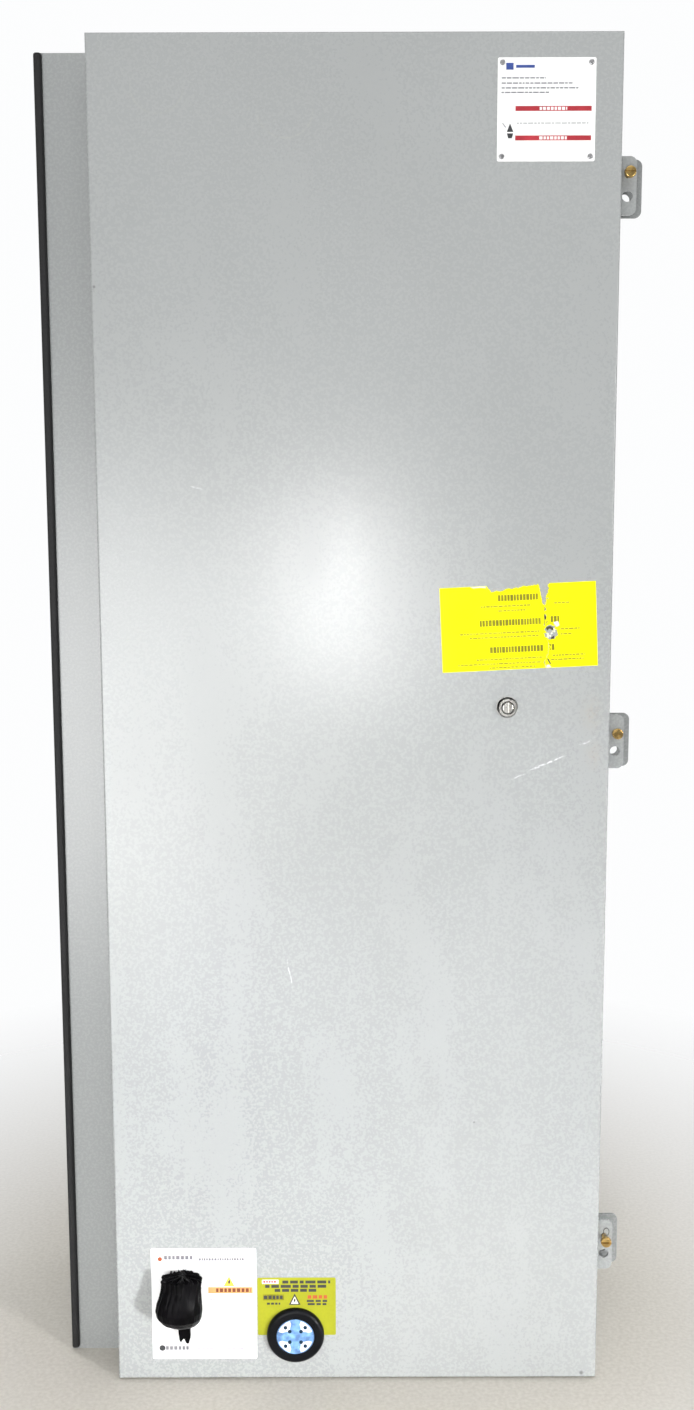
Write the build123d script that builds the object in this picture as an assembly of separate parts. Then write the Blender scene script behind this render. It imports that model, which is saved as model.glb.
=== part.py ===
from build123d import *

import math
import os

# Automatic transfer switch in a tall steel enclosure with a full-height hinged door.
# Origin: centre of the enclosure's footprint, on the floor. +Z is up, the door faces -Y,
# +X is to the right of a person who faces the door. Millimetres.

# Enclosure envelope
WIDTH = 508.0
HEIGHT = 1219.0
DEPTH = 254.0
SHEET = 2.0

LEFT = -WIDTH / 2
RIGHT = WIDTH / 2
BACK = DEPTH / 2
DOOR_FACE = -DEPTH / 2

# Door pan
DOOR_LEFT = LEFT + 54.0
DOOR_BOTTOM = 2.0
PAN_DEPTH = 50.0
PAN_REAR = DOOR_FACE + PAN_DEPTH
RETURN_WIDTH = 26.0
HINGE_RETURN = 30.0
BEND_RADIUS = 1.9

# Front frame, on which the door closes
FRAME_FACE = DOOR_FACE + 53.0
FRAME_BACK = FRAME_FACE + SHEET
FRAME_WIDTH = 34.0
HINGE_FRAME_WIDTH = 88.0
FRAME_LIP = 10.0
BUMPER_WIDTH = 7.0
BUMPER_HEIGHT = 5.0
GASKET_WIDTH = 12.0
GASKET_THICKNESS = 2.7

# Continuous hinge
HINGE_X = DOOR_LEFT - 4.0
HINGE_Y = FRAME_FACE - 4.0
KNUCKLE_R = 3.7
HINGE_PIN_R = 1.5
RUNNING_FIT = 0.05
LEAF = 1.5
LEAF_GAP = 4.3
HINGE_Z0 = 10.0
HINGE_Z1 = HEIGHT - 10.0
KNUCKLES = 24
KNUCKLE_GAP = 0.4

# Padlock and screw tabs on the latch side
TAB_Z = (114.0, 608.5, 1103.0)
TAB_HEIGHT = 50.0
TAB_THICKNESS = 2.5
FRONT_TAB_REACH = 21.0
REAR_TAB_REACH = 28.0
FRONT_TAB_Y = DOOR_FACE + 41.0
TAB_HOLE_X = RIGHT + 13.0
TAB_HOLE_DZ = 9.0
PADLOCK_R = 4.6
SCREW_R = 2.4
SCREW_HOLE_R = 2.7
SCREW_HEAD_R = 5.0
SCREW_HEAD = 4.0
SCREW_TRAVEL = 9.5

# Quarter-turn latch
LATCH_X = 162.0
LATCH_Z = 646.5
LATCH_SHAFT_R = 5.0
CAM_FRONT = FRAME_BACK + FRAME_LIP
CAM_THICKNESS = 3.0
CAM_REACH = 72.0

# Door furniture
PLATE_CENTRE = (189.0, 1155.5)
PLATE_SIZE = (83.0, 84.0)
CAUTION_CENTRE = (171.6, 718.0)
CAUTION_SIZE = (138.0, 75.0)
CAUTION_TILT = 2.6
TEST_LABEL_CENTRE = (-117.5, 77.9)
TEST_LABEL_SIZE = (99.0, 111.5)
LIGHT_LABEL_CENTRE = (-30.1, 75.1)
LIGHT_LABEL_SIZE = (74.0, 58.0)
STICKER = 0.25
TEST_POINT = (-139.5, 82.5)
TEST_JACK_R = 15.0
TEST_JACK_REACH = 14.0
PROBE_R = 2.1
PROBE_OFFSET = 6.0
CAP_R = 22.5
CAP_CAVITY_R = 15.6
INDICATOR = (-31.4, 46.9)
INDICATOR_R = 27.1
INDICATOR_REACH = 5.5
LENS_R = 18.0
LENS_REACH = 4.5
LENS_THICKNESS = 2.5

# Mounting panel and what it carries
PANEL_FRONT = 112.0
PANEL_THICKNESS = 3.0
PANEL_HALF_WIDTH = 185.0
PANEL_Z0 = 80.0
PANEL_Z1 = 1140.0
WALL_HOLE_R = 5.5
WALL_HOLE_X = 215.0
WALL_HOLE_Z = (40.0, 1180.0)
CONDUIT_R = 31.4
CONDUIT_X = (-180.0, -60.0)
CONDUIT_Y = 40.0

# Moulded-case switches, one above the other
POWER_X = -60.0
POLES = 3
POLE_PITCH = 45.0
CASE_WIDTH = 140.0
CASE_HEIGHT = 200.0
CASE_FRONT = 12.0
CASE_SPLIT = 62.0
SWITCH_Z = (540.0, 860.0)
TOGGLE_Y = 40.0
TOGGLE_REACH = 57.0
TOGGLE_R = 6.0
TOGGLE_HALF_WIDTH = 10.0

# Cable lugs. The load lugs are stepped in height, so that each cable passes its neighbours.
LUG_HALF_WIDTH = 13.0
LUG_LENGTH = 30.0
LUG_BORE_R = 9.0
LUG_BORE_DEPTH = 25.0
LINE_LUG_Y = (55.0, 85.0)
LOAD_LUG_Y = (40.0, 68.0)
LOAD_LUG_STEP = 34.0
LOAD_LUG_HALF_HEIGHT = 14.0
LOAD_BORE_R = 8.0
LOAD_BORE_DEPTH = 22.0
SET_SCREW_R = 5.5
SET_SCREW_LENGTH = 9.0

# Transfer mechanism: motor, reduction gear, pinion and rack
TRAVEL = 40.0
TOGGLE_TILT = math.degrees(math.asin(TRAVEL / 2 / TOGGLE_REACH))
MODULE = 2.5
PINION_TEETH = 16
GEAR_TEETH = 48
PRESSURE_ANGLE = math.radians(20.0)
ADDENDUM = 0.8
DEDENDUM = 1.05
BACKLASH = 0.25
MECHANISM_Z = 700.0
RACK_PITCH_X = -45.0
PINION_PITCH_R = MODULE * PINION_TEETH / 2
GEAR_PITCH_R = MODULE * GEAR_TEETH / 2
GEAR_X = RACK_PITCH_X + PINION_PITCH_R
MOTOR_X = GEAR_X + GEAR_PITCH_R + PINION_PITCH_R
BRACKET_X = (-150.0, 190.0)
BRACKET_FRONT = -12.0
BRACKET_THICKNESS = 3.0
BRACKET_HALF_HEIGHT = 90.0
BRACKET_LEG = 38.0
BRACKET_FOOT = 15.0
GEAR_FACE = (-26.0, -16.0)
RACK_FACE = (-38.0, -28.0)
SHAFT_R = 6.0
MOTOR_SHAFT_R = 4.0
MOTOR_OFFSET = 12.0
CARRIAGE_X = (-75.0, -48.0)
CARRIAGE_Z = (500.0, 860.0)
SLIDE_FIT = 0.3
GUIDE_Z = (612.0, 768.0)
GUIDE_HEIGHT = 20.0
GUIDE_WALL = 8.0

# Controller
CONTROLLER_X = (40.0, 180.0)
CONTROLLER_FRONT = 62.0
CONTROLLER_Z = (970.0, 1110.0)
WINDOW_X = (55.0, 125.0)
WINDOW_Z = (1035.0, 1085.0)
WINDOW_RECESS = 2.0
KNOB_X = 152.0
BUTTON_Z = 1070.0
BUTTON_R = 5.0
SELECTOR_Z = 1010.0
SPINDLE_R = 4.0

# Control transformer: a core with two windows, and a coil that fills them
CORE_X = (70.0, 160.0)
CORE_Y = (40.0, 100.0)
CORE_Z = (180.0, 260.0)
CORE_LIMB = 20.0
COIL_OVERHANG = 8.0

# Relays, terminals and bars
RELAYS = 3
RELAY_X0 = 42.0
RELAY_PITCH = 34.0
TERMINALS = 12
TERMINAL_X = (42.0, 178.0)
TERMINAL_Z = (800.0, 830.0)
TERMINAL_FIN = 1.5
TERMINAL_PITCH = (TERMINAL_X[1] - TERMINAL_X[0] - TERMINAL_FIN) / TERMINALS
BAR_Y = (80.0, 94.0)
BAR_HEIGHT = 14.0
BAR_HOLE_PITCH = 13.0
NEUTRAL_BAR = (60.0, 160.0, 330.0)
GROUND_BAR = (-150.0, 10.0, 150.0)


def block(x, y, z):
    """Box between the pairs of limits x, y and z."""
    size = Box(x[1] - x[0], y[1] - y[0], z[1] - z[0])
    return Pos((x[0] + x[1]) / 2, (y[0] + y[1]) / 2, (z[0] + z[1]) / 2) * size


def rod_x(radius, x, y, z):
    """Cylinder along X between the two limits x."""
    turned = Rot(0, 90, 0) * Cylinder(radius, x[1] - x[0])
    return Pos((x[0] + x[1]) / 2, y, z) * turned


def rod_y(radius, x, y, z):
    """Cylinder along Y between the two limits y."""
    turned = Rot(90, 0, 0) * Cylinder(radius, y[1] - y[0])
    return Pos(x, (y[0] + y[1]) / 2, z) * turned


def rod_z(radius, x, y, z):
    """Cylinder along Z between the two limits z."""
    return Pos(x, y, (z[0] + z[1]) / 2) * Cylinder(radius, z[1] - z[0])


def plate_y(outline, y):
    """Flat outline drawn in X and Z, given thickness between the two limits y."""
    front = Plane(origin=(0, y[0], 0), x_dir=(1, 0, 0), z_dir=(0, -1, 0))
    return extrude(front * outline, amount=-(y[1] - y[0]))


def save(name, *solids):
    """Write one named sub-part, which may be a group of separate solids."""
    shape = solids[0] if len(solids) == 1 else Compound(children=list(solids))
    export_step(shape, f"parts/{name}.step")


# ---------------------------------------------------------------- enclosure

def back_panel():
    panel = block((LEFT, RIGHT), (BACK - SHEET, BACK), (0, HEIGHT))
    for x in (-WALL_HOLE_X, WALL_HOLE_X):
        for z in WALL_HOLE_Z:
            panel -= rod_y(WALL_HOLE_R, x, (BACK - 2 * SHEET, BACK + SHEET), z)
    return panel


def side_panel(x0):
    return block((x0, x0 + SHEET), (FRAME_BACK, BACK - SHEET), (0, HEIGHT))


def cross_panel(z0):
    return block((LEFT + SHEET, RIGHT - SHEET), (FRAME_BACK, BACK - SHEET), (z0, z0 + SHEET))


def top_panel():
    panel = cross_panel(HEIGHT - SHEET)
    for x in CONDUIT_X:
        panel -= rod_z(CONDUIT_R, x, CONDUIT_Y, (HEIGHT - 2 * SHEET, HEIGHT + SHEET))
    return panel


def upright_frame(x_outer, x_inner):
    """Front flange beside the opening, with a lip turned back along its inner edge."""
    x = sorted((x_outer, x_inner))
    lip = sorted((x_inner, x_inner + math.copysign(SHEET, x_outer - x_inner)))
    flange = block(x, (FRAME_FACE, FRAME_BACK), (0, HEIGHT))
    turned = block(lip, (FRAME_FACE, FRAME_FACE + FRAME_LIP), (FRAME_WIDTH, HEIGHT - FRAME_WIDTH))
    return flange + turned


def cross_frame(z_outer, z_inner):
    """Front flange above or below the opening, between the two upright flanges."""
    x = (LEFT + HINGE_FRAME_WIDTH, RIGHT - FRAME_WIDTH)
    z = sorted((z_outer, z_inner))
    lip = sorted((z_inner, z_inner + math.copysign(SHEET, z_outer - z_inner)))
    return block(x, (FRAME_FACE, FRAME_BACK), z) + block(x, (FRAME_FACE, FRAME_FACE + FRAME_LIP), lip)


def edge_bumper():
    """Rubber strip along the outer edge of the hinge side, rounded over its front and ends."""
    strip = block((LEFT, LEFT + BUMPER_WIDTH), (FRAME_FACE - BUMPER_HEIGHT, FRAME_FACE), (2.5, HEIGHT - 0.5))
    front = strip.edges().filter_by(Axis.Z).group_by(Axis.Y)[0]
    strip = fillet(front, 2.5)
    ends = strip.edges().filter_by(Axis.X).group_by(Axis.Y)[0]
    return fillet(ends, 2.0)


def angle_tab(z, reach, y, wall):
    """Angle with a plate of the given reach at y, and a wall welded to the right side."""
    plate = Pos(RIGHT, z) * RectangleRounded(2 * reach, TAB_HEIGHT, 6.0)
    inside = Pos(RIGHT - reach, z) * Rectangle(2 * reach, 2 * TAB_HEIGHT)
    tab = plate_y(plate - inside, y)
    tab += block((RIGHT, RIGHT + TAB_THICKNESS), wall, (z - TAB_HEIGHT / 2, z + TAB_HEIGHT / 2))
    return drill_tab(tab, z)


def rear_tab(z):
    """Angle tab on the enclosure's side panel, level with the front frame."""
    plate_span = (FRAME_FACE, FRAME_FACE + TAB_THICKNESS)
    return angle_tab(z, REAR_TAB_REACH, plate_span, (FRAME_FACE, FRAME_FACE + 24))


def front_tab(z):
    """Angle tab on the door's side wall, in front of the rear tab."""
    plate_span = (FRONT_TAB_Y, FRONT_TAB_Y + TAB_THICKNESS)
    return angle_tab(z, FRONT_TAB_REACH, plate_span, (FRONT_TAB_Y - 20, plate_span[1]))


def drill_tab(tab, z):
    """Screw hole above, padlock hole below."""
    reach = (FRONT_TAB_Y - 1, FRAME_FACE + TAB_THICKNESS + 1)
    tab -= rod_y(SCREW_HOLE_R, TAB_HOLE_X, reach, z + TAB_HOLE_DZ)
    return tab - rod_y(PADLOCK_R, TAB_HOLE_X, reach, z - TAB_HOLE_DZ)


# ---------------------------------------------------------------- hinge

def knuckle_span(index):
    pitch = (HINGE_Z1 - HINGE_Z0) / KNUCKLES
    low = HINGE_Z0 + index * pitch
    return low + KNUCKLE_GAP / 2, low + pitch - KNUCKLE_GAP / 2


def knuckle(index, tongue_x, tongue_y):
    """One rolled knuckle, joined to its leaf by a tongue."""
    z = knuckle_span(index)
    bore = rod_z(HINGE_PIN_R + RUNNING_FIT, HINGE_X, HINGE_Y, z)
    return rod_z(KNUCKLE_R, HINGE_X, HINGE_Y, z) + block(tongue_x, tongue_y, z) - bore


def hinge_fixed_leaf():
    leaf_y = (FRAME_FACE - LEAF, FRAME_FACE)
    leaf = block((HINGE_X + LEAF_GAP, DOOR_LEFT + 12), leaf_y, (HINGE_Z0, HINGE_Z1))
    for index in range(0, KNUCKLES, 2):
        leaf += knuckle(index, (HINGE_X, HINGE_X + LEAF_GAP + 1), leaf_y)
    return leaf


def hinge_door_leaf():
    leaf_x = (DOOR_LEFT - LEAF, DOOR_LEFT)
    leaf = block(leaf_x, (HINGE_Y - 28, HINGE_Y - LEAF_GAP), (HINGE_Z0, HINGE_Z1))
    for index in range(1, KNUCKLES, 2):
        leaf += knuckle(index, leaf_x, (HINGE_Y - LEAF_GAP - 1, HINGE_Y))
    return leaf


# ---------------------------------------------------------------- door

def door_pan():
    """Folded door: front sheet, four walls, and a return flange turned in behind each wall."""
    outer = block((DOOR_LEFT, RIGHT), (DOOR_FACE, PAN_REAR), (DOOR_BOTTOM, HEIGHT))
    corners = outer.edges().filter_by(Axis.Y, reverse=True).group_by(Axis.Y)[0]
    outer = fillet(corners, BEND_RADIUS)
    hollow_x = (DOOR_LEFT + SHEET, RIGHT - SHEET)
    hollow_z = (DOOR_BOTTOM + SHEET, HEIGHT - SHEET)
    hollow = block(hollow_x, (DOOR_FACE + SHEET, PAN_REAR - SHEET), hollow_z)
    mouth_x = (DOOR_LEFT + HINGE_RETURN, RIGHT - RETURN_WIDTH)
    mouth_z = (DOOR_BOTTOM + RETURN_WIDTH, HEIGHT - RETURN_WIDTH)
    mouth = block(mouth_x, (PAN_REAR - 2 * SHEET, PAN_REAR + SHEET), mouth_z)
    through = (DOOR_FACE - SHEET, DOOR_FACE + 2 * SHEET)
    holes = rod_y(7.0, LATCH_X, through, LATCH_Z)
    holes += rod_y(11.0, TEST_POINT[0], through, TEST_POINT[1])
    holes += rod_y(12.0, INDICATOR[0], through, INDICATOR[1])
    return outer - hollow - mouth - holes


def door_gasket():
    y = (PAN_REAR, PAN_REAR + GASKET_THICKNESS)
    x = (DOOR_LEFT + HINGE_RETURN - 4 - GASKET_WIDTH, RIGHT - RETURN_WIDTH + 4 + GASKET_WIDTH)
    z = (DOOR_BOTTOM + RETURN_WIDTH - 4 - GASKET_WIDTH, HEIGHT - RETURN_WIDTH + 4 + GASKET_WIDTH)
    inner_x = (x[0] + GASKET_WIDTH, x[1] - GASKET_WIDTH)
    inner_z = (z[0] + GASKET_WIDTH, z[1] - GASKET_WIDTH)
    return block(x, y, z) - block(inner_x, (y[0] - 1, y[1] + 1), inner_z)


def captive_screw(z):
    """Slotted brass screw, backed out so that its tip clears the rear tab."""
    tip = FRAME_FACE - 2.0
    under_head = FRONT_TAB_Y - SCREW_TRAVEL - 0.5
    head = (under_head - SCREW_HEAD, under_head)
    screw = rod_y(SCREW_R, TAB_HOLE_X, (under_head, tip), z + TAB_HOLE_DZ)
    crown = rod_y(SCREW_HEAD_R, TAB_HOLE_X, head, z + TAB_HOLE_DZ)
    crown = fillet(crown.edges().filter_by(GeomType.CIRCLE).group_by(Axis.Y)[0], 1.0)
    slot = block((TAB_HOLE_X - 6, TAB_HOLE_X + 6), (head[0] - 1, head[0] + 1.6),
                 (z + TAB_HOLE_DZ - 0.8, z + TAB_HOLE_DZ + 0.8))
    return screw + crown - slot


def latch_bushing():
    """Threaded collar through the door sheet, clamped by a hexagonal nut behind it."""
    collar = rod_y(9.5, LATCH_X, (DOOR_FACE - 1.6, DOOR_FACE), LATCH_Z)
    collar += rod_y(8.0, LATCH_X, (DOOR_FACE - 6.0, DOOR_FACE - 1.6), LATCH_Z)
    collar += rod_y(7.0, LATCH_X, (DOOR_FACE, DOOR_FACE + 14), LATCH_Z)
    nut = Pos(LATCH_X, LATCH_Z) * RegularPolygon(12.0, 6)
    collar += plate_y(nut, (DOOR_FACE + SHEET, DOOR_FACE + SHEET + 6))
    bore = rod_y(LATCH_SHAFT_R + RUNNING_FIT, LATCH_X, (DOOR_FACE - 7, DOOR_FACE + 15), LATCH_Z)
    return collar - bore


def latch_stud():
    """Quarter-turn stud with a screwdriver slot, and a square end for its cam."""
    stud = rod_y(LATCH_SHAFT_R, LATCH_X, (DOOR_FACE - 7.5, CAM_FRONT - 4), LATCH_Z)
    tip = stud.edges().filter_by(GeomType.CIRCLE).group_by(Axis.Y)[0]
    stud = fillet(tip, 0.8)
    end = (CAM_FRONT - 4, CAM_FRONT + CAM_THICKNESS)
    stud += block((LATCH_X - 3, LATCH_X + 3), end, (LATCH_Z - 3, LATCH_Z + 3))
    slot = block((LATCH_X - 0.8, LATCH_X + 0.8), (DOOR_FACE - 9, DOOR_FACE - 5), (LATCH_Z - 6, LATCH_Z + 6))
    return stud - slot


def latch_cam():
    """Flat cam on the stud, hanging down when the latch is open."""
    y = (CAM_FRONT, CAM_FRONT + CAM_THICKNESS)
    reach = CAM_REACH - 9
    outline = Pos(LATCH_X, LATCH_Z - reach / 2) * SlotCenterToCenter(reach, 18, rotation=90)
    outline -= Pos(LATCH_X, LATCH_Z) * Rectangle(6, 6)
    return plate_y(outline, y)


def door_sheet(centre, size, thickness, tilt=0.0):
    """Thin rectangular plate or label lying on the door's face."""
    outline = Pos(*centre) * Rot(0, 0, tilt) * RectangleRounded(*size, 1.5)
    return plate_y(outline, (DOOR_FACE - thickness, DOOR_FACE))


def nameplate_rivets():
    rivets = []
    for dx in (-1, 1):
        for dz in (-1, 1):
            x = PLATE_CENTRE[0] + dx * (PLATE_SIZE[0] / 2 - 4)
            z = PLATE_CENTRE[1] + dz * (PLATE_SIZE[1] / 2 - 4)
            head = rod_y(2.2, x, (DOOR_FACE - 2.0, DOOR_FACE - 0.8), z)
            rivets.append(fillet(head.edges().filter_by(GeomType.CIRCLE).group_by(Axis.Y)[0], 0.6))
    return rivets


def test_point_label():
    label = door_sheet(TEST_LABEL_CENTRE, TEST_LABEL_SIZE, STICKER)
    return label - rod_y(TEST_JACK_R + 2, TEST_POINT[0], (DOOR_FACE - 1, DOOR_FACE + 1), TEST_POINT[1])


def light_label():
    label = door_sheet(LIGHT_LABEL_CENTRE, LIGHT_LABEL_SIZE, STICKER)
    return label - rod_y(INDICATOR_R, INDICATOR[0], (DOOR_FACE - 1, DOOR_FACE + 1), INDICATOR[1])


def test_point_jack():
    """Insulated receptacle with four probe sockets, held by a round nut behind the door."""
    x, z = TEST_POINT
    jack = rod_y(TEST_JACK_R + 2, x, (DOOR_FACE - 2, DOOR_FACE), z)
    jack += rod_y(TEST_JACK_R, x, (DOOR_FACE - TEST_JACK_REACH, DOOR_FACE - 2), z)
    jack += rod_y(11.0, x, (DOOR_FACE, DOOR_FACE + 30), z)
    jack += rod_y(16.0, x, (DOOR_FACE + SHEET, DOOR_FACE + SHEET + 7), z)
    for dx in (-PROBE_OFFSET, PROBE_OFFSET):
        for dz in (-PROBE_OFFSET, PROBE_OFFSET):
            socket = (DOOR_FACE - TEST_JACK_REACH - 1, DOOR_FACE + 2)
            jack -= rod_y(PROBE_R, x + dx, socket, z + dz)
    return jack


def test_point_cap():
    """Push-on rubber cap: rounded bulb, narrower crown above, pull tail below."""
    x, z = TEST_POINT
    front = DOOR_FACE - 34.0
    rear = DOOR_FACE - STICKER - 0.35
    bulb = rod_y(CAP_R, x, (front, rear), z)
    bulb = fillet(bulb.edges().filter_by(GeomType.CIRCLE).group_by(Axis.Y)[0], 12.0)
    crown = rod_y(14.0, x + 2, (front + 6, rear), z + 22)
    crown = fillet(crown.edges().filter_by(GeomType.CIRCLE).group_by(Axis.Y)[0], 8.0)
    tail = block((x - 3, x + 11), (rear - 9, rear), (z - 42, z - 18))
    tail = fillet(tail.edges().filter_by(Axis.Z), 3.0)
    cavity = rod_y(CAP_CAVITY_R, x, (DOOR_FACE - 14.5, rear + 1), z)
    collar = rod_y(TEST_JACK_R + 2.4, x, (DOOR_FACE - 2.4, rear + 1), z)
    return bulb + crown + tail - cavity - collar


def indicator_ring():
    """Bezel of the voltage light, with its body and nut behind the door."""
    x, z = INDICATOR
    ring = rod_y(INDICATOR_R, x, (DOOR_FACE - INDICATOR_REACH, DOOR_FACE), z)
    ring = fillet(ring.edges().filter_by(GeomType.CIRCLE).group_by(Axis.Y)[0], 4.0)
    ring += rod_y(12.0, x, (DOOR_FACE, DOOR_FACE + 32), z)
    ring += rod_y(17.0, x, (DOOR_FACE + SHEET, DOOR_FACE + SHEET + 7), z)
    recess_floor = DOOR_FACE - LENS_REACH + LENS_THICKNESS
    return ring - rod_y(LENS_R, x, (DOOR_FACE - INDICATOR_REACH - 1, recess_floor), z)


def indicator_lens():
    front = DOOR_FACE - LENS_REACH
    lens = rod_y(LENS_R, INDICATOR[0], (front, front + LENS_THICKNESS), INDICATOR[1])
    return fillet(lens.edges().filter_by(GeomType.CIRCLE).group_by(Axis.Y)[0], 1.2)


# ---------------------------------------------------------------- mounting panel

def mounting_panel():
    x = (-PANEL_HALF_WIDTH, PANEL_HALF_WIDTH)
    return block(x, (PANEL_FRONT, PANEL_FRONT + PANEL_THICKNESS), (PANEL_Z0, PANEL_Z1))


def panel_fixings():
    """Spacers behind the mounting panel, and the nuts that clamp it."""
    fixings = []
    for x in (-170, 170):
        for z in (PANEL_Z0 + 15, 500, PANEL_Z1 - 15):
            fixings.append(rod_y(9.0, x, (PANEL_FRONT + PANEL_THICKNESS, BACK - SHEET), z))
            nut = Pos(x, z) * RegularPolygon(8.0, 6)
            fixings.append(plate_y(nut, (PANEL_FRONT - 6, PANEL_FRONT)))
    return fixings


def pole_x(pole):
    return POWER_X + (pole - 1) * POLE_PITCH


def switch_case(z):
    """Moulded cover of one switch, with the well that its toggle rocks in."""
    half_width = CASE_WIDTH / 2
    cover = block((POWER_X - half_width, POWER_X + half_width), (CASE_FRONT, CASE_SPLIT),
                  (z - CASE_HEIGHT / 2, z + CASE_HEIGHT / 2))
    cover = chamfer(cover.edges().filter_by(Axis.Y, reverse=True).group_by(Axis.Y)[0], 3.0)
    well_x = (POWER_X - TOGGLE_HALF_WIDTH - 1.5, POWER_X + TOGGLE_HALF_WIDTH + 1.5)
    cover -= block(well_x, (CASE_FRONT - 1, CASE_SPLIT), (z - 21, z + 21))
    pivot = (POWER_X - TOGGLE_HALF_WIDTH - 6, POWER_X + TOGGLE_HALF_WIDTH + 6)
    return cover - rod_x(3.0 + RUNNING_FIT, pivot, TOGGLE_Y, z)


def switch_base(z):
    half_width = CASE_WIDTH / 2
    return block((POWER_X - half_width, POWER_X + half_width), (CASE_SPLIT, PANEL_FRONT),
                 (z - CASE_HEIGHT / 2, z + CASE_HEIGHT / 2))


def toggle(z):
    """Switch toggle with moulded trunnions, tipped down to its lower position."""
    x = (POWER_X - TOGGLE_HALF_WIDTH, POWER_X + TOGGLE_HALF_WIDTH)
    lever = block(x, (-TOGGLE_REACH, 0), (-TOGGLE_R, TOGGLE_R))
    lever += rod_x(TOGGLE_R, x, -TOGGLE_REACH, 0)
    lever += rod_x(14.0, x, 0, 0)
    lever += rod_x(3.0, (x[0] - 5, x[1] + 5), 0, 0)
    return Pos(0, TOGGLE_Y, z) * Rot(TOGGLE_TILT, 0, 0) * lever


def load_lug_z(pole):
    return MECHANISM_Z + (pole - 1) * LOAD_LUG_STEP


def line_lug(pole, foot, direction):
    """Lug block at a switch's line end, with a blind cable bore and a set-screw hole."""
    x = pole_x(pole)
    mouth = foot + direction * LUG_LENGTH
    lug = block((x - LUG_HALF_WIDTH, x + LUG_HALF_WIDTH), LINE_LUG_Y, sorted((foot, mouth)))
    bore = sorted((mouth, mouth - direction * LUG_BORE_DEPTH))
    lug -= rod_z(LUG_BORE_R, x, sum(LINE_LUG_Y) / 2, bore)
    screw = (LINE_LUG_Y[0] - 1, LINE_LUG_Y[0] + 6)
    return lug - rod_y(SET_SCREW_R, x, screw, foot + direction * LUG_LENGTH / 2)


def load_lug(pole):
    """Lug block on a load strap. Each pole's cable leaves to the left, past the next pole."""
    x = pole_x(pole)
    z = load_lug_z(pole)
    half = LOAD_LUG_HALF_HEIGHT
    lug = block((x - LUG_HALF_WIDTH, x + LUG_HALF_WIDTH), LOAD_LUG_Y, (z - half, z + half))
    bore = (x - LUG_HALF_WIDTH, x - LUG_HALF_WIDTH + LOAD_BORE_DEPTH)
    lug -= rod_x(LOAD_BORE_R, bore, sum(LOAD_LUG_Y) / 2, z)
    return lug - rod_y(SET_SCREW_R, x, (LOAD_LUG_Y[0] - 1, LOAD_LUG_Y[0] + 6), z)


def cable_lugs():
    top = SWITCH_Z[1] + CASE_HEIGHT / 2
    bottom = SWITCH_Z[0] - CASE_HEIGHT / 2
    lugs = []
    for pole in range(POLES):
        lugs.append(line_lug(pole, top, 1))
        lugs.append(line_lug(pole, bottom, -1))
        lugs.append(load_lug(pole))
    return lugs


def set_screw(x, lug_front, z):
    """Hexagon-socket set screw that points into a lug along +Y."""
    head = lug_front - 4
    screw = rod_y(SET_SCREW_R, x, (head, head + SET_SCREW_LENGTH), z)
    socket = Pos(x, z) * RegularPolygon(2.9, 6)
    return screw - plate_y(socket, (head - 1, head + 4))


def lug_set_screws():
    reach = CASE_HEIGHT / 2 + LUG_LENGTH / 2
    screws = []
    for pole in range(POLES):
        x = pole_x(pole)
        screws.append(set_screw(x, LINE_LUG_Y[0], SWITCH_Z[1] + reach))
        screws.append(set_screw(x, LINE_LUG_Y[0], SWITCH_Z[0] - reach))
        screws.append(set_screw(x, LOAD_LUG_Y[0], load_lug_z(pole)))
    return screws


def load_straps():
    """Copper straps that join the two switches pole by pole."""
    gap = (SWITCH_Z[0] + CASE_HEIGHT / 2, SWITCH_Z[1] - CASE_HEIGHT / 2)
    y = (LOAD_LUG_Y[1], LOAD_LUG_Y[1] + 4)
    return [block((pole_x(pole) - 10, pole_x(pole) + 10), y, gap) for pole in range(POLES)]


# ---------------------------------------------------------------- transfer mechanism

def involute(angle):
    return math.tan(angle) - angle


def gear_outline(teeth, phase_deg):
    """Involute spur gear with shortened teeth and a little backlash."""
    pitch_r = MODULE * teeth / 2
    base_r = pitch_r * math.cos(PRESSURE_ANGLE)
    tip_r = pitch_r + ADDENDUM * MODULE
    root_r = pitch_r - DEDENDUM * MODULE
    start_r = max(base_r, root_r)
    half_tooth = (math.pi * MODULE / 2 - BACKLASH) / 2 / pitch_r + involute(PRESSURE_ANGLE)
    flank = [(root_r, half_tooth - involute(math.acos(base_r / start_r)))]
    for step in range(4):
        radius = start_r + (tip_r - start_r) * step / 3
        if radius > root_r + 0.01:
            flank.append((radius, half_tooth - involute(math.acos(min(1, base_r / radius)))))
    points = []
    for tooth in range(teeth):
        centre = math.radians(phase_deg) + 2 * math.pi * tooth / teeth
        for radius, angle in flank:
            points.append((radius * math.cos(centre - angle), radius * math.sin(centre - angle)))
        for radius, angle in reversed(flank):
            points.append((radius * math.cos(centre + angle), radius * math.sin(centre + angle)))
    return make_face(Polyline(*points, close=True))


def drive_gear():
    outline = Pos(GEAR_X, MECHANISM_Z) * gear_outline(GEAR_TEETH, 0)
    gear = plate_y(outline, GEAR_FACE)
    for spoke in range(5):
        angle = math.radians(72 * spoke + 18)
        x = GEAR_X + 36 * math.cos(angle)
        z = MECHANISM_Z + 36 * math.sin(angle)
        gear -= rod_y(12.0, x, (GEAR_FACE[0] - 1, GEAR_FACE[1] + 1), z)
    return gear - rod_y(SHAFT_R, GEAR_X, (GEAR_FACE[0] - 1, GEAR_FACE[1] + 1), MECHANISM_Z)


def pinion_shaft():
    """Shaft through the bracket, with the rack pinion cut on its front end."""
    outline = Pos(GEAR_X, MECHANISM_Z) * gear_outline(PINION_TEETH, 0)
    return plate_y(outline, RACK_FACE) + rod_y(SHAFT_R, GEAR_X, (-60, 6), MECHANISM_Z)


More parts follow.
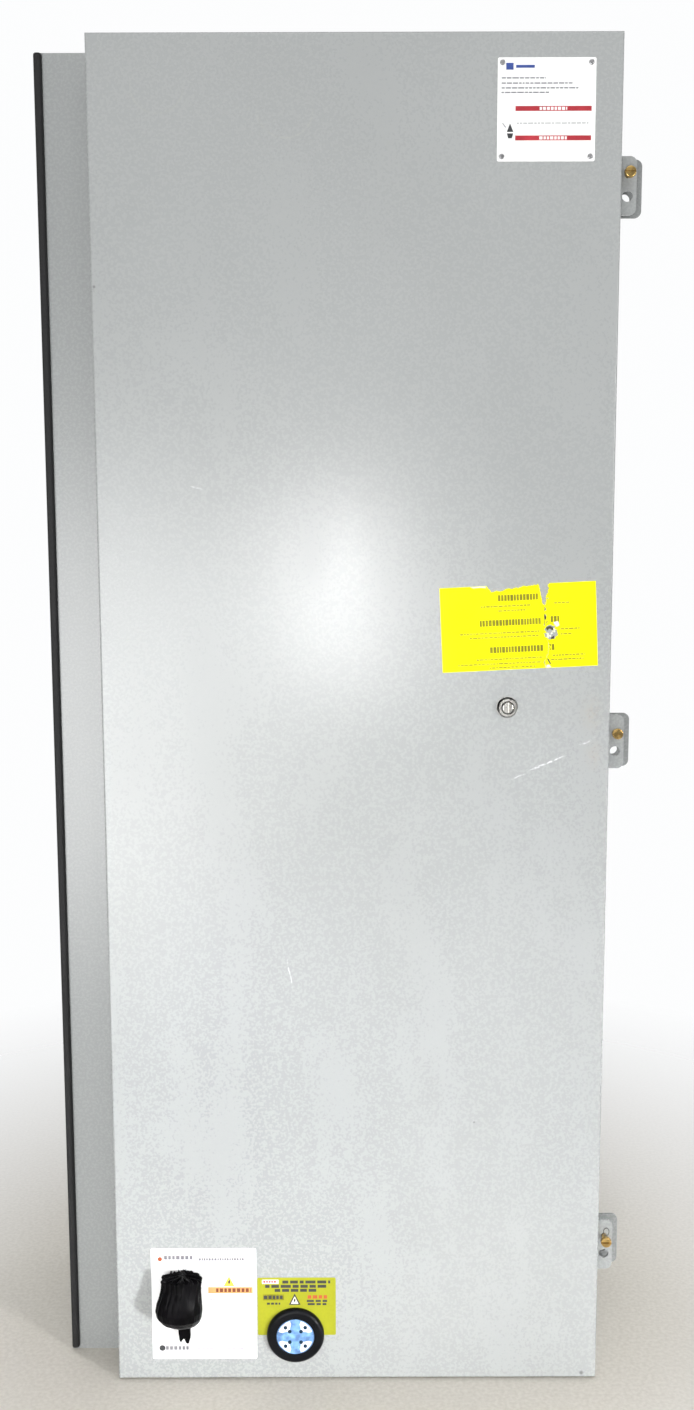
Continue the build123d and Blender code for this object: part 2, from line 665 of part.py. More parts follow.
def motor_pinion():
    phase = 180 / PINION_TEETH
    outline = Pos(MOTOR_X, MECHANISM_Z) * gear_outline(PINION_TEETH, phase)
    return plate_y(outline, GEAR_FACE) + rod_y(MOTOR_SHAFT_R, MOTOR_X, (GEAR_FACE[0], 0), MECHANISM_Z)


def manual_handle():
    """Hand lever clamped on the front of the pinion shaft."""
    lean = math.degrees(TRAVEL / PINION_PITCH_R) / 2
    hub = rod_y(14.0, 0, (-57, -43), 0)
    arm = block((-7, 7), (-56, -46), (0, 80))
    knob = rod_y(11.0, 0, (-66, -46), 80)
    knob = fillet(knob.edges().filter_by(GeomType.CIRCLE).group_by(Axis.Y)[0], 4.0)
    lever = hub + arm + knob - rod_y(SHAFT_R, 0, (-58, -42), 0)
    return Pos(GEAR_X, 0, MECHANISM_Z) * Rot(0, -lean, 0) * lever


def rack_teeth():
    """Straight-sided rack teeth on the carriage, with a gap at the pinion's centre."""
    pitch = math.pi * MODULE
    tip_x = RACK_PITCH_X + ADDENDUM * MODULE
    root_x = RACK_PITCH_X - DEDENDUM * MODULE
    slope = math.tan(PRESSURE_ANGLE)
    half = (pitch / 2 - BACKLASH) / 2
    half_tip = half - ADDENDUM * MODULE * slope
    half_root = half + DEDENDUM * MODULE * slope
    teeth = []
    for tooth in range(-8, 3):
        z = MECHANISM_Z + (tooth + 0.5) * pitch
        root = [(root_x - 0.5, z + half_root), (root_x - 0.5, z - half_root)]
        tip = [(tip_x, z - half_tip), (tip_x, z + half_tip)]
        teeth.append(plate_y(make_face(Polyline(*root, *tip, close=True)), RACK_FACE))
    return teeth


def carriage():
    """Sliding bar with a rack on its right edge and a fork for each toggle."""
    bar = block(CARRIAGE_X, RACK_FACE, CARRIAGE_Z)
    for tooth in rack_teeth():
        bar += tooth
    for z in SWITCH_Z:
        fork_z = z - TRAVEL / 2
        for side in (-1, 1):
            near = fork_z + side * 9.5
            far = fork_z + side * 14.0
            bar += block((POWER_X - 10, POWER_X + 10), (RACK_FACE[1], -10), sorted((near, far)))
    return bar


def carriage_guides():
    """Two plastic blocks on the bracket, with a window that the carriage slides in."""
    window_x = (CARRIAGE_X[0] - SLIDE_FIT, CARRIAGE_X[1] + SLIDE_FIT)
    window_y = (RACK_FACE[0] - SLIDE_FIT, RACK_FACE[1] + SLIDE_FIT)
    outer_x = (CARRIAGE_X[0] - GUIDE_WALL, CARRIAGE_X[1] + GUIDE_WALL)
    guides = []
    for z0 in GUIDE_Z:
        guide = block(outer_x, (RACK_FACE[0] - 5, BRACKET_FRONT), (z0, z0 + GUIDE_HEIGHT))
        guides.append(guide - block(window_x, window_y, (z0 - 1, z0 + GUIDE_HEIGHT + 1)))
    return guides


def bracket_leg(x, foot_x, z):
    """Leg from the bracket's plate back to the panel, with a foot folded along it."""
    back = BRACKET_FRONT + BRACKET_THICKNESS
    foot_y = (PANEL_FRONT - BRACKET_THICKNESS, PANEL_FRONT)
    return block(x, (back, PANEL_FRONT), z) + block(foot_x, foot_y, z)


def mechanism_bracket():
    """Plate in front of the load straps, on four legs. The right feet turn in, to stay on the panel."""
    left, right = BRACKET_X
    low, high = MECHANISM_Z - BRACKET_HALF_HEIGHT, MECHANISM_Z + BRACKET_HALF_HEIGHT
    through = (BRACKET_FRONT - 1, BRACKET_FRONT + BRACKET_THICKNESS + 1)
    plate = block(BRACKET_X, (BRACKET_FRONT, BRACKET_FRONT + BRACKET_THICKNESS), (low, high))
    for z in ((low, low + BRACKET_LEG), (high - BRACKET_LEG, high)):
        inner = right - BRACKET_THICKNESS
        plate += bracket_leg((left, left + BRACKET_THICKNESS), (left - BRACKET_FOOT, left), z)
        plate += bracket_leg((inner, right), (inner - BRACKET_FOOT, inner), z)
    plate -= rod_y(9.0, GEAR_X, through, MECHANISM_Z)
    return plate - rod_y(7.0, MOTOR_X, through, MECHANISM_Z)


def shaft_bushing():
    bush = rod_y(9.0, GEAR_X, (BRACKET_FRONT, 0), MECHANISM_Z)
    bush += rod_y(13.0, GEAR_X, (BRACKET_FRONT - 3, BRACKET_FRONT), MECHANISM_Z)
    return bush - rod_y(SHAFT_R + RUNNING_FIT, GEAR_X, (BRACKET_FRONT - 4, 1), MECHANISM_Z)


def gear_motor():
    """Gearbox with its output shaft off centre, and the motor behind it."""
    back = BRACKET_FRONT + BRACKET_THICKNESS
    motor = rod_y(32.0, MOTOR_X + MOTOR_OFFSET, (back, 24), MECHANISM_Z)
    motor += rod_y(25.0, MOTOR_X + MOTOR_OFFSET, (24, 92), MECHANISM_Z)
    return motor - rod_y(MOTOR_SHAFT_R + RUNNING_FIT, MOTOR_X, (back - 1, 2), MECHANISM_Z)


# ---------------------------------------------------------------- controls

def controller_housing():
    """Controller case with a window recess, a button hole and a selector hole."""
    front = CONTROLLER_FRONT
    case = block(CONTROLLER_X, (front, PANEL_FRONT), CONTROLLER_Z)
    case = fillet(case.edges().filter_by(Axis.Y, reverse=True).group_by(Axis.Y)[0], 2.0)
    case -= block(WINDOW_X, (front - 1, front + WINDOW_RECESS), WINDOW_Z)
    case -= rod_y(BUTTON_R + RUNNING_FIT, KNOB_X, (front - 1, front + 9), BUTTON_Z)
    return case - rod_y(SPINDLE_R + RUNNING_FIT, KNOB_X, (front - 1, front + 8), SELECTOR_Z)


def controller_display():
    return block(WINDOW_X, (CONTROLLER_FRONT + 0.4, CONTROLLER_FRONT + WINDOW_RECESS), WINDOW_Z)


def test_button():
    button = rod_y(BUTTON_R, KNOB_X, (CONTROLLER_FRONT - 3, CONTROLLER_FRONT + 6), BUTTON_Z)
    return fillet(button.edges().filter_by(GeomType.CIRCLE).group_by(Axis.Y)[0], 1.0)


def selector_knob():
    """Rotary selector: round skirt, raised finger bar and a spindle into the case."""
    rear = CONTROLLER_FRONT - SLIDE_FIT
    skirt = rod_y(13.0, KNOB_X, (CONTROLLER_FRONT - 5, rear), SELECTOR_Z)
    bar_y = (CONTROLLER_FRONT - 13, CONTROLLER_FRONT - 5)
    bar = block((KNOB_X - 3.5, KNOB_X + 3.5), bar_y, (SELECTOR_Z - 12, SELECTOR_Z + 12))
    return skirt + bar + rod_y(SPINDLE_R, KNOB_X, (rear, CONTROLLER_FRONT + 7), SELECTOR_Z)


def control_transformer():
    """Laminated core, the coil through its window, and a foot plate on two spacers."""
    window_x = (CORE_X[0] + CORE_LIMB, CORE_X[1] - CORE_LIMB)
    window_z = (CORE_Z[0] + CORE_LIMB, CORE_Z[1] - CORE_LIMB)
    coil_y = (CORE_Y[0] - COIL_OVERHANG, CORE_Y[1] + COIL_OVERHANG)
    coil = block(window_x, coil_y, window_z)
    core = block(CORE_X, CORE_Y, CORE_Z) - coil
    foot_x = (CORE_X[0] - 8, CORE_X[1] + 8)
    foot = block(foot_x, (coil_y[1], PANEL_FRONT), (CORE_Z[0] + 12, CORE_Z[1] - 12))
    spacers = [block((x, x + 10), (CORE_Y[1], coil_y[1]), window_z) for x in (window_x[0] - 10, window_x[1])]
    return [core, coil, foot, *spacers]


def control_relays():
    """Plug-in relays, each on its own socket."""
    relays = []
    for index in range(RELAYS):
        x0 = RELAY_X0 + index * RELAY_PITCH
        relays.append(block((x0, x0 + 30), (84, PANEL_FRONT), (850, 925)))
        relays.append(block((x0 + 1, x0 + 29), (46, 84), (862, 912)))
    return relays


def terminal_strip():
    """Terminal strip: a base with barrier fins between its screws."""
    strip = block(TERMINAL_X, (96, PANEL_FRONT), TERMINAL_Z)
    for index in range(TERMINALS + 1):
        x = TERMINAL_X[0] + index * TERMINAL_PITCH
        strip += block((x, x + TERMINAL_FIN), (86, 96), TERMINAL_Z)
    return strip


def terminal_screws():
    first = TERMINAL_X[0] + (TERMINAL_FIN + TERMINAL_PITCH) / 2
    middle = sum(TERMINAL_Z) / 2
    return [rod_y(3.2, first + index * TERMINAL_PITCH, (93, 96), middle) for index in range(TERMINALS)]


def terminal_bar(x0, x1, z):
    """Ground or neutral bar, drilled for wires."""
    bar = block((x0, x1), BAR_Y, (z, z + BAR_HEIGHT))
    for index in range(int((x1 - x0 - 20) // BAR_HOLE_PITCH)):
        x = x0 + 16 + index * BAR_HOLE_PITCH
        bar -= rod_z(3.2, x, sum(BAR_Y) / 2 + 1, (z - 1, z + BAR_HEIGHT + 1))
    return bar


def bar_stools(x0, x1, z):
    """The two insulated stools under a bar."""
    y = (BAR_Y[1], PANEL_FRONT)
    return [block((x, x + 12), y, (z - 2, z + BAR_HEIGHT + 2)) for x in (x0 + 4, x1 - 16)]


def wire_path(points):
    """Straight runs joined by arcs as large as their two runs allow."""
    radii = []
    for before, corner, after in zip(points, points[1:], points[2:]):
        first = Vector(*corner) - Vector(*before)
        second = Vector(*after) - Vector(*corner)
        turn = math.radians(first.get_angle(second))
        radii.append(0.45 * min(first.length, second.length) / math.tan(turn / 2))
    print("arc radii", [round(radius, 1) for radius in radii])
    return FilletPolyline(*points, radius=radii)


def loom(points, radius):
    path = wire_path(points)
    start = Plane(origin=path @ 0, z_dir=path % 0)
    return sweep(start * Circle(radius), path=path)


CONTROLLER_LOOM = [
    (168, 92, 970), (168, 92, 945), (171, 90, 915), (172, 95, 885), (169, 104, 857), (169, 104, 830),
]
MOTOR_LOOM = [
    (67, 60, 725), (67, 60, 742), (76, 76, 758), (92, 98, 768), (100, 104, 782), (100, 104, 800),
]
TRANSFORMER_LOOM = [
    (150, 92, 260), (150, 92, 285), (166, 95, 320), (172, 95, 365), (173, 92, 425), (173, 90, 485),
    (172, 92, 545), (171, 96, 605), (170, 98, 665), (168, 99, 715), (150, 104, 758), (150, 104, 800),
]


def main():
    os.makedirs("parts", exist_ok=True)
    save("back_panel", back_panel())
    save("side_panels", side_panel(LEFT), side_panel(RIGHT - SHEET))
    save("top_panel", top_panel())
    save("bottom_panel", cross_panel(0))
    save("hinge_side_frame", upright_frame(LEFT, LEFT + HINGE_FRAME_WIDTH))
    save("latch_side_frame", upright_frame(RIGHT, RIGHT - FRAME_WIDTH))
    save("cross_frames", cross_frame(0, FRAME_WIDTH), cross_frame(HEIGHT, HEIGHT - FRAME_WIDTH))
    save("edge_bumper", edge_bumper())
    save("rear_tabs", *[rear_tab(z) for z in TAB_Z])
    save("hinge_fixed_leaf", hinge_fixed_leaf())
    save("hinge_pin", rod_z(HINGE_PIN_R, HINGE_X, HINGE_Y, (HINGE_Z0, HINGE_Z1)))

    save("door_pan", door_pan())
    save("door_gasket", door_gasket())
    save("hinge_door_leaf", hinge_door_leaf())
    save("front_tabs", *[front_tab(z) for z in TAB_Z])
    for name, z in zip(("bottom", "middle", "top"), TAB_Z):
        save(f"{name}_captive_screw", captive_screw(z))
    save("latch_bushing", latch_bushing())
    save("latch_stud", latch_stud())
    save("latch_cam", latch_cam())
    save("nameplate", door_sheet(PLATE_CENTRE, PLATE_SIZE, 0.8))
    save("nameplate_rivets", *nameplate_rivets())
    save("caution_label", door_sheet(CAUTION_CENTRE, CAUTION_SIZE, STICKER, CAUTION_TILT))
    save("test_point_label", test_point_label())
    save("test_point_jack", test_point_jack())
    save("test_point_cap", test_point_cap())
    save("light_label", light_label())
    save("indicator_ring", indicator_ring())
    save("indicator_lens", indicator_lens())

    save("mounting_panel", mounting_panel())
    save("panel_fixings", *panel_fixings())
    save("switch_bases", *[switch_base(z) for z in SWITCH_Z])
    save("switch_covers", *[switch_case(z) for z in SWITCH_Z])
    save("lower_toggle", toggle(SWITCH_Z[0]))
    save("upper_toggle", toggle(SWITCH_Z[1]))
    save("cable_lugs", *cable_lugs())
    save("lug_set_screws", *lug_set_screws())
    save("load_straps", *load_straps())

    save("mechanism_bracket", mechanism_bracket())
    save("shaft_bushing", shaft_bushing())
    save("gear_motor", gear_motor())
    save("motor_pinion", motor_pinion())
    save("drive_gear", drive_gear())
    save("pinion_shaft", pinion_shaft())
    save("manual_handle", manual_handle())
    save("carriage", carriage())
    save("carriage_guides", *carriage_guides())

    save("controller_housing", controller_housing())
    save("controller_display", controller_display())
    save("test_button", test_button())
    save("selector_knob", selector_knob())
    save("control_transformer", *control_transformer())
    save("control_relays", *control_relays())
    save("terminal_strip", terminal_strip())
    save("terminal_screws", *terminal_screws())
    save("neutral_bar", terminal_bar(*NEUTRAL_BAR))
    save("ground_bar", terminal_bar(*GROUND_BAR))
    save("bar_stools", *bar_stools(*NEUTRAL_BAR), *bar_stools(*GROUND_BAR))
    save("control_wiring", loom(CONTROLLER_LOOM, 3.5), loom(MOTOR_LOOM, 3.0), loom(TRANSFORMER_LOOM, 3.5))


main()
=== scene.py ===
import math
import random

import bmesh
import bpy
from mathutils import Matrix, Vector, noise


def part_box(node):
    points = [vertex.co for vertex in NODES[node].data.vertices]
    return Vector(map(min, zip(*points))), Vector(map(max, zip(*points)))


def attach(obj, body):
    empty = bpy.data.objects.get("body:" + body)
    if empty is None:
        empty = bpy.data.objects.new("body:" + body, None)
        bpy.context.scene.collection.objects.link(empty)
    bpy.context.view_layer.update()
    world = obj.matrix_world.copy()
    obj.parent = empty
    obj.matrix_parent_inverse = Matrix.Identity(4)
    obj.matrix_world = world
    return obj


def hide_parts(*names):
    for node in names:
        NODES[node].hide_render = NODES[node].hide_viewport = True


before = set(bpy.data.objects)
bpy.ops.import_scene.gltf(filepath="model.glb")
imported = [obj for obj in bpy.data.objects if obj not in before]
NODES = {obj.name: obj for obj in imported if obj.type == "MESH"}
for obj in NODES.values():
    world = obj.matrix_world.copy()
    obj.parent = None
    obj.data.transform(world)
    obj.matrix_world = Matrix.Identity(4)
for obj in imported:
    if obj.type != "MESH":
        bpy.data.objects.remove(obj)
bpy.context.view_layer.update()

MM = 0.001
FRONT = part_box("door_pan")[0].y

# ---------------------------------------------------------------- camera, lights and floor

CAMERA_DISTANCE = 1.236
CAMERA_HEIGHT = 0.8118
CAMERA_SIDE = 0.0191
CAMERA_PITCH = 7.515
CAMERA_ROLL = -0.163
CAMERA_LENS = 35.67
SENSOR = 36.0


def link(item):
    bpy.context.scene.collection.objects.link(item)


def make_camera():
    data = bpy.data.cameras.new("camera")
    data.sensor_width = SENSOR
    data.lens = CAMERA_LENS
    camera = bpy.data.objects.new("camera", data)
    camera.location = (CAMERA_SIDE, FRONT - CAMERA_DISTANCE, CAMERA_HEIGHT)
    level = Matrix.Rotation(math.radians(90 - CAMERA_PITCH), 3, "X")
    camera.rotation_euler = (level @ Matrix.Rotation(math.radians(CAMERA_ROLL), 3, "Z")).to_euler()
    link(camera)
    bpy.context.scene.camera = camera


def area_light(name, place, target, size, watts, spread=180):
    data = bpy.data.lights.new(name, "AREA")
    data.shape = "RECTANGLE"
    data.size, data.size_y = size
    data.energy = watts
    data.spread = math.radians(spread)
    lamp = bpy.data.objects.new(name, data)
    lamp.location = place
    lamp.visible_camera = False
    lamp.rotation_euler = (Vector(target) - Vector(place)).to_track_quat("-Z", "Y").to_euler()
    link(lamp)


def make_world():
    """White studio behind the object, and a dim room in front for metal and gloss to reflect."""
    world = bpy.data.worlds.new("studio")
    world.use_nodes = True
    bpy.context.scene.world = world
    nodes, links = world.node_tree.nodes, world.node_tree.links
    direction = nodes.new("ShaderNodeTexCoord").outputs["Generated"]
    parts = nodes.new("ShaderNodeSeparateXYZ")
    links.new(direction, parts.inputs[0])
    ramps = []
    for axis, low, high, new_low, new_high in (("Y", -0.35, 0.45, 0.0, 1.0), ("Z", -0.1, 0.7, 0.18, 0.42)):
        ramp = nodes.new("ShaderNodeMapRange")
        links.new(parts.outputs[axis], ramp.inputs["Value"])
        for socket, number in zip(list(ramp.inputs)[1:5], (low, high, new_low, new_high)):
            socket.default_value = number
        ramps.append(ramp.outputs[0])
    seen = nodes.new("ShaderNodeLightPath").outputs["Is Camera Ray"]
    white = nodes.new("ShaderNodeMath")
    white.operation = "MAXIMUM"
    links.new(ramps[0], white.inputs[0])
    links.new(seen, white.inputs[1])
    level = nodes.new("ShaderNodeMix")
    links.new(white.outputs[0], level.inputs["Factor"])
    links.new(ramps[1], level.inputs["A"])
    level.inputs["B"].default_value = 0.99
    background = nodes["Background"]
    background.inputs["Color"].default_value = (0.99, 0.995, 1.0, 1)
    links.new(level.outputs["Result"], background.inputs["Strength"])


def make_lights():
    """Key light from the right, wide soft light from the left, and the glare of a light beside the camera.
    A low beam from the right throws the cap's shadow."""
    area_light("near_camera", (0.007, FRONT - 1.24, 0.69), (0.0, FRONT, 0.72), (0.07, 0.27), 4.6)
    area_light("key_right", (1.15, FRONT - 1.25, 0.98), (0.05, FRONT, 0.45), (0.35, 0.42), 8.5)
    area_light("left_sky", (-0.85, FRONT - 2.3, 0.30), (-0.15, FRONT, 0.50), (1.1, 1.1), 35)
    area_light("high_front", (0.2, FRONT - 2.0, 2.7), (0.0, FRONT, 0.6), (1.4, 0.8), 13)
    area_light("low_front", (0.15, FRONT - 0.7, 0.14), (0.0, FRONT, 0.25), (1.6, 0.2), 0.8)
    area_light("low_right", (1.70, FRONT - 1.75, 0.22), (-0.26, FRONT, 0.10), (0.20, 0.20), 2.5, 36)


FLOOR_RADIUS = 1.5


def make_floor():
    """Round pale floor that fades into the white studio away from the object."""
    bm = bmesh.new()
    bmesh.ops.create_circle(bm, cap_ends=True, segments=128, radius=FLOOR_RADIUS)
    mesh = mesh_from(bm, "floor")
    floor = bpy.data.objects.new("floor", mesh)
    link(floor)
    shader = Shader("floor_paint")
    reach = shader.add("ShaderNodeVectorMath", operation="LENGTH")
    shader.feed(reach.inputs[0], shader.where)
    fade = shader.remap(reach.outputs["Value"], 0.30, 0.95, 0, 1)
    grain = shader.remap(shader.noise(260, 3), 0.35, 0.65, 0, 1)
    near = shader.mix(grain, (0.60, 0.57, 0.51), (0.68, 0.65, 0.59))
    shader.feed(shader.surface.inputs["Alpha"], shader.remap(reach.outputs["Value"], 0.35, 1.05, 1, 0))
    colour = shader.mix(fade, near, (0.93, 0.93, 0.93))
    mesh.materials.append(shader.finish(colour, 0.6, specular=0.2))


# ---------------------------------------------------------------- materials

class Shader:
    """Adds and links the nodes of one material."""

    def __init__(self, name):
        self.material = bpy.data.materials.new(name)
        self.material.use_nodes = True
        self.tree = self.material.node_tree
        self.surface = self.tree.nodes["Principled BSDF"]
        self.where = self.add("ShaderNodeTexCoord").outputs["Object"]

    def add(self, kind, **settings):
        node = self.tree.nodes.new(kind)
        for key, value in settings.items():
            setattr(node, key, value)
        return node

    def feed(self, socket, value):
        if hasattr(value, "is_linked"):
            self.tree.links.new(value, socket)
        else:
            socket.default_value = value

    def maths(self, operation, *values):
        node = self.add("ShaderNodeMath", operation=operation)
        for socket, value in zip(node.inputs, values):
            self.feed(socket, value)
        return node.outputs[0]

    def minus(self, first, second):
        return self.maths("SUBTRACT", first, second)

    def times(self, first, second):
        return self.maths("MULTIPLY", first, second)

    def distance(self, across, along):
        squares = self.maths("ADD", self.maths("POWER", across, 2), self.maths("POWER", along, 2))
        return self.maths("SQRT", squares)

    def axes(self):
        """The place's x and z."""
        parts = self.add("ShaderNodeSeparateXYZ")
        self.feed(parts.inputs[0], self.where)
        return parts.outputs["X"], parts.outputs["Z"]

    def stretched(self, scale):
        node = self.add("ShaderNodeMapping")
        self.feed(node.inputs["Vector"], self.where)
        node.inputs["Scale"].default_value = scale
        return node.outputs[0]

    def noise(self, scale, detail=2.0, where=None):
        node = self.add("ShaderNodeTexNoise")
        self.feed(node.inputs["Vector"], where or self.where)
        node.inputs["Scale"].default_value = scale
        node.inputs["Detail"].default_value = detail
        return node.outputs["Fac"]

    def remap(self, value, low, high, new_low, new_high):
        node = self.add("ShaderNodeMapRange")
        for socket, number in zip(node.inputs, (value, low, high, new_low, new_high)):
            self.feed(socket, number)
        return node.outputs[0]

    def mix(self, factor, first, second, blend="MIX"):
        node = self.add("ShaderNodeMix", data_type="RGBA", blend_type=blend)
        self.feed(node.inputs["Factor"], factor)
        self.feed(node.inputs["A"], rgba(first))
        self.feed(node.inputs["B"], rgba(second))
        return node.outputs["Result"]

    def bump(self, height, strength, distance, normal=None):
        node = self.add("ShaderNodeBump")
        self.feed(node.inputs["Height"], height)
        node.inputs["Strength"].default_value = strength
        node.inputs["Distance"].default_value = distance
        if normal is not None:
            self.feed(node.inputs["Normal"], normal)
        return node.outputs["Normal"]

    def finish(self, colour, roughness, normal=None, metallic=0.0, specular=0.5):
        """Sets the surface and gives the finished material."""
        for name, value in (("Base Color", colour), ("Roughness", roughness), ("Normal", normal),
                            ("Metallic", metallic), ("Specular IOR Level", specular)):
            if value is not None:
                self.feed(self.surface.inputs[name], value)
        return self.material


def rgba(colour):
    return colour if hasattr(colour, "is_linked") else (*colour[:3], 1)


def scaled(colour, factor):
    return tuple(min(1.0, channel * factor) for channel in colour[:3])


def textured(name, colour, roughness, metallic, mottle, fine, bump=(600, 0.1, 0.0002), stretch=(1, 1, 1),
             specular=0.5, rough_change=0.08):
    """Surface with broad and fine colour variation, uneven roughness and a fine relief. mottle and fine give
    their scale and strength, and bump its scale, strength and height in metres."""
    shader = Shader(name)
    where = shader.stretched(stretch)
    broad = shader.noise(mottle[0], 3, where)
    close = shader.noise(fine[0], 2, where)
    colour_broad = shader.mix(shader.remap(broad, 0.35, 0.65, 0, 1), scaled(colour, 1 - mottle[1]),
                              scaled(colour, 1 + mottle[1]))
    tint = shader.mix(shader.remap(close, 0.3, 0.7, 0, 1), (1 - fine[1],) * 3, (1.0,) * 3)
    roughness = shader.remap(broad, 0.3, 0.7, max(0.02, roughness - rough_change), roughness + rough_change)
    normal = shader.bump(shader.noise(bump[0], 2, where), bump[1], bump[2])
    colour = shader.mix(1.0, colour_broad, tint, "MULTIPLY")
    return shader.finish(colour, roughness, normal, metallic, specular)


ENAMEL = (0.350, 0.362, 0.360)


WELD_REACH = 0.243
WELD_PITCH = 0.076


def spot_welds(shader):
    """Height of shallow spot welds in two upright rows, one near each side."""
    x, z = shader.axes()
    across = shader.minus(shader.maths("ABSOLUTE", x), WELD_REACH)
    along = shader.maths("PINGPONG", z, WELD_PITCH / 2)
    return shader.remap(shader.distance(across, along), 0.0022, 0.0042, 0, 1)


def enamel(name, marks=False, welds=False, tone=1.0):
    """Light grey machine enamel with orange peel. With marks, the door's stains, scratches and faint dark
    ring arcs.
    """
    shader = Shader(name)
    broad = shader.noise(5, 3)
    cells = shader.noise(420, 2)
    grain = shader.noise(1500, 1)
    # tone below 1 darkens the whole enamel: painted shadow where it is used on the rear tabs
    light, dark = scaled(ENAMEL, 1.02 * tone), scaled(ENAMEL, 0.975 * tone)
    colour = shader.mix(shader.remap(broad, 0.35, 0.65, 0, 1), dark, light)
    speckle = shader.mix(shader.remap(cells, 0.35, 0.65, 0, 1), (0.975, 0.98, 0.983), (1.0, 1.0, 1.0))
    colour = shader.mix(1.0, colour, speckle, "MULTIPLY")
    roughness = shader.remap(cells, 0.3, 0.7, 0.24, 0.30)
    if marks:
        colour, roughness = door_marks(shader, colour, roughness)
    peel = shader.bump(shader.noise(260, 2), 0.08, 0.0006)
    if welds:
        peel = shader.bump(spot_welds(shader), 0.5, 0.0010, peel)
    return shader.finish(colour, roughness, shader.bump(grain, 0.10, 0.0001, peel))


# Marks on the door's face, as (x, z) in metres. A scratch has two ends, a width and a strength, below zero
# where it is darker than the enamel. The others have a centre and a radius
SCRATCHES = [
    ((0.1800, 0.588), (0.2165, 0.6025), 0.0010, 0.9),
    ((0.166, 0.581), (0.182, 0.587), 0.0008, 0.5),
    ((0.226, 0.6115), (0.2425, 0.6195), 0.0009, 0.5),
    ((0.189, 0.9525), (0.221, 0.938), 0.0007, -0.7),
    ((-0.1965, 1.049), (-0.184, 1.102), 0.0007, -0.6),
    ((-0.0375, 0.417), (-0.0305, 0.384), 0.0006, 0.6),
    ((-0.118, 0.842), (-0.105, 0.839), 0.0007, 0.5),
]
# Faint dark rings, as a centre and a radius, darkest at their bottom and fading out above their middle
FADED_RING_ARCS = [((-0.140, 1.176), 0.0225), ((-0.032, 1.1575), 0.024)]
SMUDGES = [((0.2375, 0.640), 0.013), ((0.2405, 0.603), 0.010)]
SPOTS = [((-0.197, 1.0115), 0.0016), ((0.2405, 0.0068), 0.0026), ((0.136, 0.2575), 0.0012)]


def door_marks(shader, colour, roughness):
    x, z = shader.axes()
    wobble = shader.remap(shader.noise(90, 2), 0.3, 0.7, -0.0009, 0.0009)
    ragged = shader.remap(shader.noise(380, 3), 0.38, 0.60, 0.1, 1)

    def scratch(start, end, width):
        """1 along a scratch, fading towards its ends and its edges."""
        length = math.dist(start, end)
        ux, uz = (end[0] - start[0]) / length, (end[1] - start[1]) / length
        dx, dz = shader.minus(x, start[0]), shader.minus(z, start[1])
        along = shader.maths("ADD", shader.times(dx, ux), shader.times(dz, uz))
        across = shader.minus(shader.times(dx, uz), shader.times(dz, ux))
        across = shader.maths("ABSOLUTE", shader.maths("ADD", across, wobble))
        middle = shader.maths("ABSOLUTE", shader.minus(along, length / 2))
        fade = shader.remap(middle, length * 0.25, length * 0.5, 1, 0)
        return shader.times(shader.remap(across, width * 0.3, width, 1, 0), fade)

    def reach(centre, flatten=1.0):
        """Distance from a centre, and the height above it. Heights count flatten times."""
        rise = shader.times(shader.minus(z, centre[1]), flatten)
        return shader.distance(shader.minus(x, centre[0]), rise), rise

    for start, end, width, tone in SCRATCHES:
        line = shader.times(scratch(start, end, width), ragged)
        mark = (0.93, 0.94, 0.95) if tone > 0 else (0.36, 0.37, 0.36)
        colour = shader.mix(shader.times(line, abs(tone)), colour, mark)
    for centre, radius in FADED_RING_ARCS:
        out, rise = reach(centre)
        edge = shader.maths("ABSOLUTE", shader.minus(out, radius))
        ring = shader.times(shader.remap(edge, 0.0002, 0.0011, 1, 0), ragged)
        # darker towards the bottom of each ring, gone towards its top
        ring = shader.times(ring, shader.remap(rise, -radius * 0.5, radius * 0.35, 0.55, 0))
        colour = shader.mix(ring, colour, (0.40, 0.41, 0.38))
    for centre, radius in SPOTS:
        spot = shader.times(shader.remap(reach(centre)[0], radius * 0.4, radius, 1, 0), 0.8)
        colour = shader.mix(spot, colour, (0.10, 0.10, 0.10))
    for centre, radius in SMUDGES:
        smudge = shader.times(shader.remap(reach(centre, 0.6)[0], 0, radius, 0.35, 0), ragged)
        colour = shader.mix(smudge, colour, (0.36, 0.31, 0.24))
    smear = shader.remap(shader.noise(16, 4, shader.stretched((1, 1, 0.35))), 0.5, 0.72, 0, 0.05)
    colour = shader.mix(smear, colour, (0.42, 0.43, 0.42))
    return colour, shader.maths("ADD", roughness, shader.times(smear, 0.8))


